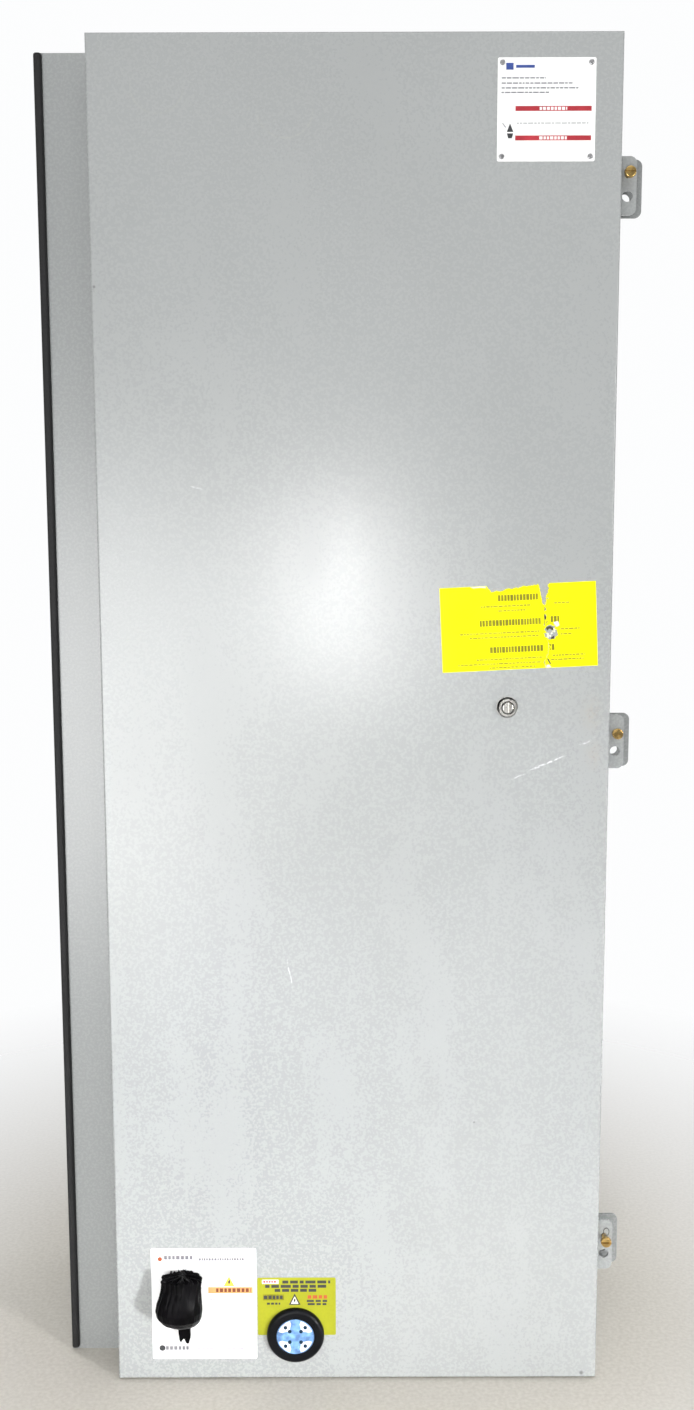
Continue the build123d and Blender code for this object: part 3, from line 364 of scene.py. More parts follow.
# Finish: colour, roughness, metallic, mottle, fine, and then the other values of textured() in order
FINISHES = {
    "zinc": ((0.22, 0.223, 0.217), 0.40, 1.0, (25, 0.10), (900, 0.08), (300, 0.08, 0.0002)),
    "dark_steel": ((0.22, 0.22, 0.22), 0.34, 1.0, (60, 0.12), (900, 0.10), (600, 0.10, 0.0001)),
    "plate_metal": ((0.50, 0.50, 0.49), 0.42, 1.0, (60, 0.05), (700, 0.06), (700, 0.06, 0.0001),
        (1, 1, 0.1)),
    "coil_tape": ((0.42, 0.30, 0.06), 0.40, 0.0, (40, 0.12), (500, 0.10), (140, 0.15, 0.0004), (1, 1, 0.25)),
    "galvanised": ((0.33, 0.345, 0.355), 0.45, 1.0, (60, 0.16), (300, 0.10), (80, 0.05, 0.0003)),
    "nickel": ((0.50, 0.49, 0.46), 0.26, 1.0, (90, 0.06), (1500, 0.08), (1200, 0.06, 0.0001), (1, 1, 1), 0.5,
        0.04),
    "brass": ((0.62, 0.42, 0.15), 0.27, 1.0, (130, 0.16), (1500, 0.15), (1200, 0.10, 0.0001), (1, 1, 1), 0.5,
        0.05),
    "rubber": ((0.0016, 0.0014, 0.002), 0.40, 0.0, (60, 0.4), (900, 0.3), (900, 0.25, 0.0002), (1, 1, 1),
        0.055),
    "bumper": ((0.011, 0.011, 0.012), 0.75, 0.0, (40, 0.5), (700, 0.5), (500, 0.6, 0.0006)),
    "foam": ((0.035, 0.035, 0.037), 0.9, 0.0, (50, 0.2), (900, 0.4), (900, 0.8, 0.0006)),
    "white_plate": ((0.90, 0.90, 0.89), 0.33, 0.0, (20, 0.01), (600, 0.01), (300, 0.04, 0.0002)),
    "rivet": ((0.45, 0.45, 0.46), 0.35, 1.0, (200, 0.1), (1500, 0.1), (900, 0.1, 0.0001)),
    "yellow_vinyl": ((0.96, 0.91, 0.0), 0.5, 0.0, (18, 0.02), (500, 0.03), (60, 0.12, 0.0006), (1, 1, 1),
        0.12),
    "paper_edge": ((0.93, 0.93, 0.72), 0.8, 0.0, (200, 0.05), (900, 0.1), (900, 0.5, 0.0003)),
    "white_vinyl": ((0.90, 0.90, 0.90), 0.35, 0.0, (20, 0.01), (600, 0.02), (60, 0.06, 0.0004)),
    "lime_vinyl": ((0.33, 0.34, 0.020), 0.45, 0.0, (30, 0.05), (500, 0.05), (60, 0.08, 0.0004), (1, 1, 1),
        0.15),
    "black_nylon": ((0.004, 0.0045, 0.006), 0.34, 0.0, (60, 0.2), (900, 0.2), (900, 0.15, 0.0002), (1, 1, 1),
        0.13),
    "phenolic": ((0.028, 0.028, 0.030), 0.48, 0.0, (30, 0.15), (1100, 0.25), (1100, 0.35, 0.0003)),
    "toggle": ((0.045, 0.045, 0.048), 0.35, 0.0, (60, 0.1), (900, 0.15), (900, 0.15, 0.0002)),
    "grey_plastic": ((0.36, 0.38, 0.39), 0.45, 0.0, (30, 0.04), (900, 0.08), (900, 0.3, 0.0003)),
    "white_nylon": ((0.80, 0.79, 0.73), 0.40, 0.0, (60, 0.04), (700, 0.04), (500, 0.1, 0.0002)),
    "aluminium": ((0.30, 0.304, 0.314), 0.38, 1.0, (40, 0.08), (600, 0.10), (500, 0.15, 0.0001),
        (1, 1, 0.08)),
    "copper": ((0.82, 0.42, 0.27), 0.30, 1.0, (60, 0.14), (700, 0.12), (500, 0.12, 0.0001), (1, 1, 0.08)),
    "gear_steel": ((0.17, 0.17, 0.18), 0.34, 1.0, (60, 0.12), (900, 0.12), (900, 0.2, 0.0001)),
    "motor": ((0.03, 0.03, 0.033), 0.35, 0.0, (30, 0.2), (700, 0.2), (300, 0.3, 0.0004)),
    "window": ((0.02, 0.035, 0.03), 0.12, 0.0, (20, 0.1), (900, 0.1), (60, 0.02, 0.0001)),
    "red_plastic": ((0.50, 0.03, 0.02), 0.30, 0.0, (60, 0.08), (900, 0.08), (700, 0.15, 0.0002)),
    "dark_wire": ((0.10, 0.10, 0.10), 0.35, 1.0, (90, 0.2), (900, 0.2), (900, 0.2, 0.0001)),
    "blue_lens": ((0.16, 0.31, 0.62), 0.22, 0.0, (180, 0.35), (600, 0.05), (300, 0.1, 0.0002), (1, 1, 1),
        0.3),
    "reflector": ((0.72, 0.78, 0.88), 0.4, 0.0, (300, 0.10), (900, 0.06), (500, 0.1, 0.0001), (1, 1, 1),
        0.2),
    "led": ((0.01, 0.03, 0.06), 0.20, 0.0, (200, 0.2), (900, 0.1), (900, 0.1, 0.0001)),
    # near-black painted shade for the dark gaps along the yellow label's tears
    "tear_shade": ((0.06, 0.055, 0.04), 0.8, 0.0, (200, 0.3), (900, 0.4)),
}

# Printing ink: its colour, roughness, broad and fine mottle, and specular
INKS = {
    "black": ((0.03, 0.03, 0.035), 0.5, 0.2, 0.3, 0.5),
    "grey": ((0.20, 0.20, 0.22), 0.5, 0.1, 0.2, 0.5),
    "pale": ((0.42, 0.40, 0.46), 0.5, 0.1, 0.2, 0.5),
    "blue": ((0.03, 0.07, 0.30), 0.45, 0.15, 0.2, 0.5),
    "red": ((0.46, 0.02, 0.035), 0.45, 0.12, 0.15, 0.5),
    "white": ((0.88, 0.86, 0.85), 0.45, 0.04, 0.05, 0.5),
    "olive": ((0.26, 0.24, 0.01), 0.5, 0.2, 0.3, 0.2),
    "faint": ((0.50, 0.46, 0.02), 0.5, 0.2, 0.3, 0.2),
    "orange": ((0.42, 0.08, 0.015), 0.45, 0.1, 0.1, 0.5),
    "brown": ((0.16, 0.035, 0.008), 0.45, 0.1, 0.1, 0.5),
    "peach": ((0.78, 0.36, 0.13), 0.45, 0.05, 0.1, 0.5),
    "amber": ((0.95, 0.72, 0.05), 0.45, 0.05, 0.1, 0.5),
}

STATUS_COLOURS = {
    "led_green": (0.02, 0.30, 0.05),
    "led_amber": (0.75, 0.36, 0.02),
    "led_red": (0.50, 0.02, 0.02),
}


def make_materials():
    materials = {
        "enamel": enamel("grey_enamel"),
        "door_enamel": enamel("door_enamel", marks=True),
        "welded_enamel": enamel("welded_enamel", welds=True),
        # rear tabs: the enamel darkened to 0.72, painted shadow that the front tabs cast on them
        "painted_shadow_enamel": enamel("painted_shadow_enamel", tone=0.72),
        "laminations": laminations(),
        "wire_sleeve": wire_sleeve(),
    }
    for finish, values in FINISHES.items():
        materials[finish] = textured(finish, *values)
    for ink, (colour, roughness, broad, fine, specular) in INKS.items():
        broad, fine = (90, broad), (900, fine)
        materials[ink] = textured("print_" + ink, colour, roughness, 0.0, broad, fine, specular=specular)
    for lamp, colour in STATUS_COLOURS.items():
        materials[lamp] = textured(lamp, colour, 0.15, 0.0, (200, 0.2), (900, 0.1))
    return materials


def wire_sleeve():
    """Bundled control wires under a black spiral wrap, which shows them between its turns."""
    shader = Shader("wire_sleeve")
    turns = shader.add("ShaderNodeTexWave", bands_direction="DIAGONAL")
    shader.feed(turns.inputs["Vector"], shader.where)
    turns.inputs["Scale"].default_value = 36
    turns.inputs["Distortion"].default_value = 0.3
    cells = shader.add("ShaderNodeTexVoronoi")
    shader.feed(cells.inputs["Vector"], shader.where)
    cells.inputs["Scale"].default_value = 420
    hue = shader.add("ShaderNodeSeparateColor")
    shader.feed(hue.inputs[0], cells.outputs["Color"])
    red_or_blue = shader.remap(hue.outputs[0], 0.45, 0.55, 0, 1)
    wires = shader.mix(red_or_blue, (0.38, 0.03, 0.02), (0.05, 0.10, 0.38))
    wires = shader.mix(shader.remap(hue.outputs[1], 0.6, 0.66, 0, 1), wires, (0.55, 0.42, 0.03))
    wrap = shader.remap(turns.outputs["Fac"], 0.22, 0.34, 0, 1)
    roughness = shader.remap(shader.noise(300), 0.3, 0.7, 0.35, 0.5)
    colour = shader.mix(wrap, wires, (0.02, 0.02, 0.022))
    return shader.finish(colour, roughness, shader.bump(wrap, 0.6, 0.0006))


def laminations():
    """Varnished iron core: thin parallel sheets seen at their edges."""
    shader = Shader("core_laminations")
    wave = shader.add("ShaderNodeTexWave", bands_direction="Y")
    shader.feed(wave.inputs["Vector"], shader.where)
    wave.inputs["Scale"].default_value = 320
    wave.inputs["Distortion"].default_value = 0.4
    sheets = wave.outputs["Fac"]
    colour = shader.mix(sheets, (0.05, 0.04, 0.035), (0.17, 0.14, 0.12))
    roughness = shader.remap(shader.noise(120), 0.3, 0.7, 0.3, 0.55)
    return shader.finish(colour, roughness, shader.bump(sheets, 0.4, 0.0003), metallic=0.6)


CAD_FINISH = {
    "welded_enamel": ["back_panel"],
    # the darkened enamel on the rear tabs is painted shadow
    "painted_shadow_enamel": ["rear_tabs"],
    "enamel": ["side_panels", "top_panel", "bottom_panel", "hinge_side_frame", "latch_side_frame",
               "cross_frames", "front_tabs"],
    "door_enamel": ["door_pan"],
    "zinc": ["hinge_fixed_leaf", "hinge_door_leaf", "hinge_pin", "latch_cam", "panel_fixings",
             "lug_set_screws", "mechanism_bracket", "carriage", "terminal_screws"],
    "galvanised": ["mounting_panel"],
    "nickel": ["latch_bushing", "latch_stud"],
    "brass": ["bottom_captive_screw", "middle_captive_screw", "top_captive_screw", "shaft_bushing"],
    "bumper": ["edge_bumper"],
    "foam": ["door_gasket"],
    "white_plate": ["nameplate"],
    "rivet": ["nameplate_rivets"],
    "white_vinyl": ["test_point_label"],
    "lime_vinyl": ["light_label"],
    "black_nylon": ["test_point_jack", "indicator_ring", "selector_knob", "terminal_strip"],
    "blue_lens": ["indicator_lens"],
    "phenolic": ["switch_bases", "switch_covers"],
    "toggle": ["lower_toggle", "upper_toggle"],
    "grey_plastic": ["controller_housing", "control_relays"],
    "white_nylon": ["carriage_guides", "bar_stools"],
    "aluminium": ["cable_lugs", "neutral_bar", "ground_bar"],
    "copper": ["load_straps"],
    "gear_steel": ["motor_pinion", "drive_gear", "pinion_shaft"],
    "motor": ["gear_motor"],
    "window": ["controller_display"],
    "red_plastic": ["manual_handle", "test_button"],
    "laminations": ["control_transformer"],
    "rubber": ["test_point_cap"],
    "wire_sleeve": ["control_wiring"],
}


def finish_cad_nodes():
    for finish, names in CAD_FINISH.items():
        for name in names:
            node = NODES[name]
            node.data.materials.clear()
            node.data.materials.append(MATERIALS[finish])


# ---------------------------------------------------------------- meshes

def centre_xz(node):
    """The x and z of a CAD node's middle."""
    low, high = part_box(node)
    return (low.x + high.x) / 2, (low.z + high.z) / 2


def add_piece(name, bm, body, material):
    mesh = mesh_from(bm, name)
    piece = bpy.data.objects.new(name, mesh)
    link(piece)
    mesh.materials.append(MATERIALS[material])
    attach(piece, body)
    return piece


def mesh_from(bm, name):
    mesh = bpy.data.meshes.new(name)
    bm.to_mesh(mesh)
    bm.free()
    return mesh


def skin(bm, rings):
    """Solid through rings of corners in order, flat at both ends. Gives its faces."""
    layers = [[bm.verts.new(corner) for corner in ring] for ring in rings]
    faces = [bm.faces.new(list(reversed(layers[0]))), bm.faces.new(layers[-1])]
    for low, high in zip(layers, layers[1:]):
        for i, corner in enumerate(low):
            j = (i + 1) % len(low)
            faces.append(bm.faces.new([corner, low[j], high[j], high[i]]))
    return faces


def add_cone(bm, x, z, front, back, front_radius, back_radius, sides):
    """Solid round an axis along Y."""
    made = bmesh.ops.create_cone(bm, cap_ends=True, segments=sides, radius1=front_radius,
                                 radius2=back_radius, depth=1.0)
    for vert in made["verts"]:
        across, up, along = vert.co
        vert.co = Vector((x + across, front + (along + 0.5) * (back - front), z + up))


def turns(count):
    """Evenly spaced angles round a circle."""
    return [2 * math.pi * step / count for step in range(count)]


INK = 0.00008


class Print:
    """Marks printed on a flat label on the door. Places are fractions of the label, from its top left."""

    def __init__(self, node, tilt=0.0, size=None):
        low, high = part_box(node)
        self.centre = Vector(((low.x + high.x) / 2, low.y, (low.z + high.z) / 2))
        self.width, self.height = size or (high.x - low.x, high.z - low.z)
        self.turn = Matrix.Rotation(-tilt, 3, "Y")
        self.inks = {}

    def place(self, u, v):
        flat = Vector(((u - 0.5) * self.width, 0, (0.5 - v) * self.height))
        return self.turn @ flat + self.centre

    def shape(self, ink, corners, level=1):
        """Closed thin prism over the corners, listed clockwise as seen from the front."""
        bm = self.inks.setdefault(ink, bmesh.new())
        places = [self.place(u, v) for u, v in corners]
        depths = (-INK * level, INK * 0.5)
        skin(bm, [[place + Vector((0, depth, 0)) for place in places] for depth in depths])

    def bar(self, ink, u0, u1, v0, v1, level=1):
        self.shape(ink, [(u0, v0), (u1, v0), (u1, v1), (u0, v1)], level)

    def rows(self, ink, lines, height, seed, word=(0.02, 0.07), level=1):
        """Lines of print, each from u0 to u1 at v: word-long bars with small gaps, in place of words."""
        for index, (u0, u1, v) in enumerate(lines):
            rng = random.Random(seed + index)
            u = u0
            while u < u1:
                end = min(u1, u + rng.uniform(*word))
                self.bar(ink, u, end, v - height / 2, v + height / 2, level)
                u = end + word[0] * 0.45

    def disc(self, ink, u, v, radius, level=1, sides=24):
        ring = [(u + radius * math.sin(turn) / self.width, v - radius * math.cos(turn) / self.height)
                for turn in turns(sides)]
        self.shape(ink, ring, level)

    def finish(self, name, slot):
        for ink, bm in self.inks.items():
            bmesh.ops.recalc_face_normals(bm, faces=bm.faces)
            add_piece(f"{name}_{ink}", bm, "door", ink)


def print_nameplate():
    page = Print("nameplate")
    page.bar("blue", 0.085, 0.16, 0.052, 0.118)
    page.bar("blue", 0.185, 0.375, 0.072, 0.100)
    lines = [(0.04, 0.49, 0.196), (0.04, 0.76, 0.246), (0.04, 0.82, 0.292), (0.04, 0.53, 0.335)]
    page.rows("grey", lines, 0.013, 11)
    for v in (0.489, 0.773):
        page.bar("red", 0.184, 0.959, v - 0.024, v + 0.024)
    page.rows("white", [(0.43, 0.71, 0.489), (0.43, 0.71, 0.773)], 0.030, 21, (0.022, 0.034), 2)
    page.rows("grey", [(0.20, 0.93, 0.630)], 0.008, 31)
    page.shape("black", [(0.130, 0.630), (0.166, 0.715), (0.098, 0.715)])
    page.shape("black", [(0.100, 0.728), (0.164, 0.728), (0.150, 0.776), (0.112, 0.776)])
    page.shape("grey", [(0.050, 0.632), (0.058, 0.628), (0.090, 0.668), (0.084, 0.674)])
    page.finish("nameplate_print", "white_plate")


def print_test_label():
    page = Print("test_point_label")
    page.disc("orange", 0.085, 0.095, 0.0021)
    page.rows("grey", [(0.125, 0.395, 0.082)], 0.034, 41, (0.024, 0.036))
    page.rows("grey", [(0.455, 0.885, 0.098)], 0.022, 42, (0.014, 0.024))
    page.rows("pale", [(0.14, 0.36, 0.122)], 0.007, 44, (0.012, 0.030))
    page.shape("amber", [(0.74, 0.252), (0.792, 0.340), (0.688, 0.340)])
    page.shape("black", [(0.745, 0.275), (0.754, 0.302), (0.738, 0.330), (0.729, 0.300)], 2)
    page.bar("peach", 0.54, 0.965, 0.348, 0.404)
    page.rows("brown", [(0.615, 0.945, 0.376)], 0.034, 43, (0.024, 0.036), 2)
    lines = [(0.555, 0.88, 0.460), (0.575, 0.82, 0.485), (0.595, 0.76, 0.508), (0.615, 0.70, 0.530)]
    page.rows("pale", lines, 0.008, 51, (0.012, 0.05))
    for u in (0.705, 0.735, 0.755):
        page.bar("pale", u, u + 0.006, 0.680, 0.705)
    page.bar("pale", 0.09, 0.46, 0.8485, 0.8525)
    page.bar("pale", 0.69, 0.91, 0.8560, 0.8600)
    page.disc("black", 0.092, 0.900, 0.0029)
    page.rows("grey", [(0.125, 0.345, 0.900)], 0.034, 61, (0.022, 0.036))
    page.rows("pale", [(0.40, 0.64, 0.904), (0.71, 0.87, 0.906)], 0.010, 62)
    page.finish("test_label_print", "white_vinyl")


def print_light_label():
    page = Print("light_label")
    page.bar("white", 0.06, 0.27, 0.035, 0.105)
    page.rows("red", [(0.075, 0.255, 0.070)], 0.030, 70, (0.02, 0.03), 2)
    lines = [(0.32, 0.93, 0.075), (0.10, 0.90, 0.150), (0.22, 0.76, 0.220)]
    page.rows("black", lines, 0.050, 71, (0.05, 0.13))
    page.bar("olive", 0.07, 0.34, 0.290, 0.390)
    page.rows("black", [(0.08, 0.33, 0.340)], 0.060, 74, (0.03, 0.05), 2)
    page.rows("black", [(0.12, 0.29, 0.450)], 0.035, 75, (0.03, 0.05))
    page.shape("black", [(0.475, 0.275), (0.550, 0.470), (0.400, 0.470)])
    page.shape("white", [(0.475, 0.325), (0.522, 0.452), (0.428, 0.452)], 2)
    page.shape("black", [(0.475, 0.350), (0.490, 0.385), (0.470, 0.435), (0.462, 0.390)], 3)
    page.rows("orange", [(0.64, 0.89, 0.335)], 0.060, 76, (0.04, 0.06))
    page.rows("black", [(0.63, 0.89, 0.405), (0.64, 0.88, 0.460)], 0.035, 77, (0.05, 0.10))
    page.finish("light_label_print", "lime_vinyl")


# ---------------------------------------------------------------- torn yellow label

CAUTION_SIZE = (0.138, 0.075)
CAUTION_TILT = math.radians(2.6)
CAUTION_CELLS = (276, 150)
LIFT_CELLS = 7
LIFT = 0.0005
VINYL = 0.00018


def torn(u, v):
    """True where the label is missing. u runs to the right and v down, both 0 to 1."""
    rough = 0.010 * noise.noise(Vector((u * 40, v * 22, 0.7)))
    rough += 0.005 * noise.noise(Vector((u * 130, v * 70, 3)))
    if 0.30 < u < 0.635:
        depth = 0.075 * (u - 0.30) / 0.03 if u < 0.33 else 0.075 * (0.635 - u) / 0.305
        if v < depth + rough * 1.5:
            return True
    gap = 0.668 + rough * 0.8
    if v < 0.25:
        if abs(u - gap) < 0.033 - 0.085 * v + rough:
            return True
    elif v < 0.50:
        if abs(u - gap - 0.004 + 0.03 * (v - 0.25)) < 0.0035 + rough * 0.4:
            return True
    hole = ((u - 0.703) / 0.040) ** 2 + ((v - 0.585) / 0.078) ** 2
    if hole < 1 + rough * 75 + 0.35 * noise.noise(Vector((u * 24, v * 13, 8))):
        return True
    if v > 0.66:
        path = 0.676 + 0.016 * math.sin((v - 0.66) * 17) + rough * 0.9
        return abs(u - path) < 0.0018
    return False


def torn_label():
    """Vinyl label as a fine grid with its torn parts left out, and slightly lifted beside the tears."""
    low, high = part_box("caution_label")
    centre = (low + high) / 2
    turn = Matrix.Rotation(-CAUTION_TILT, 3, "Y")
    columns, rows = CAUTION_CELLS
    bm = bmesh.new()
    grid = {}

    def missing(i, j):
        return not (0 <= i < columns and 0 <= j < rows) or torn((i + 0.5) / columns, (j + 0.5) / rows)

    gone = {(i, j) for i in range(columns) for j in range(rows) if missing(i, j)}

    def vertex(i, j):
        if (i, j) not in grid:
            near = LIFT_CELLS
            for a in range(-LIFT_CELLS, LIFT_CELLS, 2):
                for b in range(-LIFT_CELLS, LIFT_CELLS, 2):
                    if (i + a, j + b) in gone:
                        near = min(near, math.hypot(a, b))
            curl = max(0.0, 1 - near / LIFT_CELLS) ** 2 * LIFT
            u, v = i / columns, j / rows
            flat = Vector(((u - 0.5) * CAUTION_SIZE[0], 0, (0.5 - v) * CAUTION_SIZE[1]))
            wave = 0.00006 * noise.noise(Vector((u * 9, v * 5, 2)))
            grid[i, j] = bm.verts.new(turn @ flat + Vector((centre.x, low.y - curl + wave, centre.z)))
        return grid[i, j]

    for i in range(columns):
        for j in range(rows):
            if (i, j) not in gone:
                bm.faces.new([vertex(i, j), vertex(i, j + 1), vertex(i + 1, j + 1), vertex(i + 1, j)])
    piece = add_piece("torn_yellow_label", bm, "door", "yellow_vinyl")
    thickness = piece.modifiers.new("thickness", "SOLIDIFY")
    thickness.thickness = VINYL
    thickness.offset = -1
    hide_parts("caution_label")


def print_torn_label():
    page = Print("caution_label", CAUTION_TILT, CAUTION_SIZE)
    page.centre.y -= 0.00006
    large = [(0.372, 0.632, 0.150), (0.250, 0.645, 0.440), (0.705, 0.760, 0.425), (0.310, 0.655, 0.760),
             (0.690, 0.725, 0.755)]
    page.rows("olive", large, 0.072, 81, (0.011, 0.019))
    small = [
        (0.26, 0.58, 0.245), (0.73, 0.83, 0.235), (0.37, 0.55, 0.300), (0.12, 0.63, 0.560),
        (0.765, 0.89, 0.545), (0.18, 0.63, 0.610), (0.765, 0.84, 0.605), (0.22, 0.65, 0.870),
        (0.71, 0.92, 0.855), (0.10, 0.65, 0.925), (0.70, 0.91, 0.905), (0.30, 0.60, 0.972),
    ]
    page.rows("faint", small, 0.020, 91, (0.010, 0.030))
    # dark shapes along the tears and round the hole: painted shade in the gaps
    tear_shades = [
        [(0.650, 0.395), (0.676, 0.385), (0.684, 0.455), (0.672, 0.500), (0.660, 0.470)],
        [(0.665, 0.250), (0.670, 0.250), (0.669, 0.400), (0.664, 0.390)],
        [(0.672, 0.520), (0.700, 0.505), (0.722, 0.530), (0.716, 0.560), (0.694, 0.535), (0.680, 0.560)],
        [(0.705, 0.640), (0.726, 0.620), (0.722, 0.660), (0.700, 0.672)],
        [(0.670, 0.880), (0.678, 0.870), (0.700, 0.955), (0.692, 0.960)],
    ]
    for corners in tear_shades:
        page.shape("tear_shade", corners, 0.6)
    bare_edges = [
        [(0.196, 0.003), (0.300, 0.003), (0.296, 0.024), (0.262, 0.016), (0.214, 0.020)],
        [(0.722, 0.460), (0.752, 0.452), (0.760, 0.500), (0.742, 0.520), (0.728, 0.500)],
        [(0.652, 0.975), (0.686, 0.960), (0.700, 0.992), (0.672, 0.998)],
    ]
    for corners in bare_edges:
        page.shape("paper_edge", corners, 1.5)
    rng = random.Random(301)
    for _ in range(9):
        u, v = rng.uniform(0.678, 0.728), rng.uniform(0.53, 0.645)
        flake = []
        for angle in turns(7):
            reach = rng.uniform(0.004, 0.012)
            flake.append((u + reach * math.sin(angle), v - 1.6 * reach * math.cos(angle)))
        page.shape("paper_edge", flake, 0.4)
    page.finish("torn_label_print", "yellow_vinyl")


# ---------------------------------------------------------------- rubber cap

# Rings of the cap from bottom to mouth, in mm: height over the test point, shift, half width and depth
CAP_RINGS = [
    (-24.0, 3.4, 4.0, 7.0), (-22.0, 2.6, 9.0, 12.5), (-18.5, 1.6, 14.4, 19.5), (-14.0, 0.8, 18.2, 25.0),
    (-8.0, 0.2, 21.0, 29.5), (-1.0, 0.0, 21.9, 31.0), (6.0, 0.5, 20.9, 29.5), (13.0, 1.4, 19.3, 27.0),
    (20.0, 2.2, 18.4, 24.5), (25.0, 2.6, 18.5, 23.5), (27.0, 2.6, 19.0, 23.5), (28.4, 2.6, 17.6, 22.0),
    (28.6, 2.6, 14.0, 19.5), (28.2, 2.6, 9.0, 16.0), (28.0, 2.6, 3.0, 13.0),
]
CAP_TAIL = [(-2.6, -12.0), (-2.3, -29.0), (-1.2, -38.2), (0.5, -39.4), (3.0, -35.2), (5.2, -40.6),
            (7.6, -40.9), (9.2, -35.0), (8.8, -24.0), (9.4, -12.0)]
TAIL_DEPTHS = (6.6, 0.8)
CAP_SIDES = 144
CAP_STEPS = 7
CAP_VOXEL = 0.00055
SOCKET_RADIUS = 0.0157
MOUTH_RADIUS = 0.0175
MOUTH_DEPTH = 0.0023


def cap_ring(origin, height, shift, half_width, depth):
    """One gathered ring. Its folds and its uneven height grow towards the mouth."""
    gather = min(1.0, max(0.0, (height + 6) / 36))
    ring = []
    for angle in turns(CAP_SIDES):
        fold = math.sin(17 * angle + 1.7 * math.sin(3 * angle) + height * 0.05)
        fold += 0.6 * math.sin(31 * angle + 2.0 + height * 0.11)
        size = 1 + fold * (0.006 + 0.052 * gather ** 2)
        across = math.cos(angle) * size * half_width
        out = depth * (0.5 + 0.5 * math.sin(angle) * size)
        uneven = 0.5 * math.sin(5 * angle + 2.2) + math.sin(13 * angle + 1) + 1.1 * math.sin(23 * angle)
        lift = (uneven + 1.4 * (1 - abs(math.cos(angle)))) * max(0.0, (height - 16) / 12)
        ring.append(Vector((across + shift, -max(0.0, out), height + lift)) * MM + Vector(origin))
    return ring


def cap_bulb(bm, origin):
    rings = []
    for low, high in zip(CAP_RINGS, CAP_RINGS[1:]):
        for step in range(CAP_STEPS):
            t = step / CAP_STEPS
            rings.append(cap_ring(origin, *[a + (b - a) * t for a, b in zip(low, high)]))
    skin(bm, rings)


def cap_tail(bm, origin):
    """Pull tab below the cap, notched at its end."""
    cx, rear, cz = origin
    skin(bm, [[(cx + x * MM, rear - depth * MM, cz + z * MM) for x, z in CAP_TAIL] for depth in TAIL_DEPTHS])


def rubber_cap():
    """Soft black cap over the test point: round bulb, gathered mouth above, notched tab below."""
    cap_low, cap_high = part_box("test_point_cap")
    cx, cz = centre_xz("test_point_jack")
    origin = (cx, cap_high.y, cz)
    bm = bmesh.new()
    cap_bulb(bm, origin)
    cap_tail(bm, origin)
    bmesh.ops.recalc_face_normals(bm, faces=bm.faces)
    piece = add_piece("rubber_cap", bm, "test_point_cap", "rubber")
    blend = piece.modifiers.new("blend", "REMESH")
    blend.mode = "VOXEL"
    blend.voxel_size = CAP_VOXEL
    soften = piece.modifiers.new("soften", "SMOOTH")
    soften.iterations = 4
    soften.factor = 0.5
    apply_modifiers(piece)
    crease_cap(piece.data, origin, cap_low, cap_high)
    hollow_cap(piece, origin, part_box("test_point_jack")[0].y)
    smooth(piece)
    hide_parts("test_point_cap")


def crease_cap(mesh, origin, low, high):
    """Fine upright creases. Everything stays in front of the door and inside the design's box."""
    for vert in mesh.vertices:
        up = (vert.co.z - origin[2]) / 0.03
        crease = noise.noise(Vector((vert.co.x * 620, vert.co.y * 420, vert.co.z * 70)))
        swell = noise.noise(Vector((vert.co.x * 170, vert.co.y * 120, vert.co.z * 45 + 5)))
        amount = 0.00030 + 0.00022 * max(0.0, up)
        vert.co.y -= amount * abs(crease) * 1.6 + 0.0006 * swell
        vert.co.x += amount * 0.5 * crease
        vert.co = [min(max(place, least), most) for place, least, most in zip(vert.co, low, high)]


def hollow_cap(piece, origin, jack_front):
    """Cuts the socket that the test point fits, with a wider mouth for its flange."""
    cx, rear, cz = origin
    bm = bmesh.new()
    for radius, front in ((SOCKET_RADIUS, jack_front - 0.0006), (MOUTH_RADIUS, rear - MOUTH_DEPTH)):
        add_cone(bm, cx, cz, front, rear + 0.004, radius, radius, 64)
    cutter = bpy.data.objects.new("cap_socket", mesh_from(bm, "cap_socket"))
    link(cutter)
    cut = piece.modifiers.new("socket", "BOOLEAN")
    cut.operation = "DIFFERENCE"
    cut.solver = "EXACT"
    cut.use_self = True
    cut.object = cutter
    apply_modifiers(piece)
    bpy.data.objects.remove(cutter)


def apply_modifiers(piece):
    depsgraph = bpy.context.evaluated_depsgraph_get()
    depsgraph.update()
    made = bpy.data.meshes.new_from_object(piece.evaluated_get(depsgraph))
    piece.modifiers.clear()
    old = piece.data
    piece.data = made
    bpy.data.meshes.remove(old)


def smooth(piece):
    for polygon in piece.data.polygons:
        polygon.use_smooth = True


# ---------------------------------------------------------------- voltage light

DIODE_REACHES = (0.0076, 0.0132)
DIODE_RADIUS = 0.0021
WEDGE_REACH = 0.0078
WEDGE_SPREAD = math.radians(27)
WEDGE_STEPS = 12


def light_details():
    """Eight small diodes in the lens, in pairs along its diagonals, over white wedges."""
    low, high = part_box("indicator_lens")
    cx, cz = centre_xz("indicator_lens")
    rim = (high.x - low.x) / 2 - 0.0014
    leds = bmesh.new()
    wedges = bmesh.new()
    for quarter in range(4):
        angle = math.radians(45 + 90 * quarter)
        for reach in DIODE_REACHES:
            x, z = cx + reach * math.cos(angle), cz + reach * math.sin(angle)
            add_cone(leds, x, z, low.y - 0.0006, low.y + 0.001, DIODE_RADIUS * 0.8, DIODE_RADIUS, 28)
        add_wedge(wedges, Vector((cx, low.y - 0.0001, cz)), angle, rim)
    bmesh.ops.recalc_face_normals(leds, faces=leds.faces)
    add_piece("light_diodes", leds, "door", "led")
    add_piece("light_reflectors", wedges, "door", "reflector")


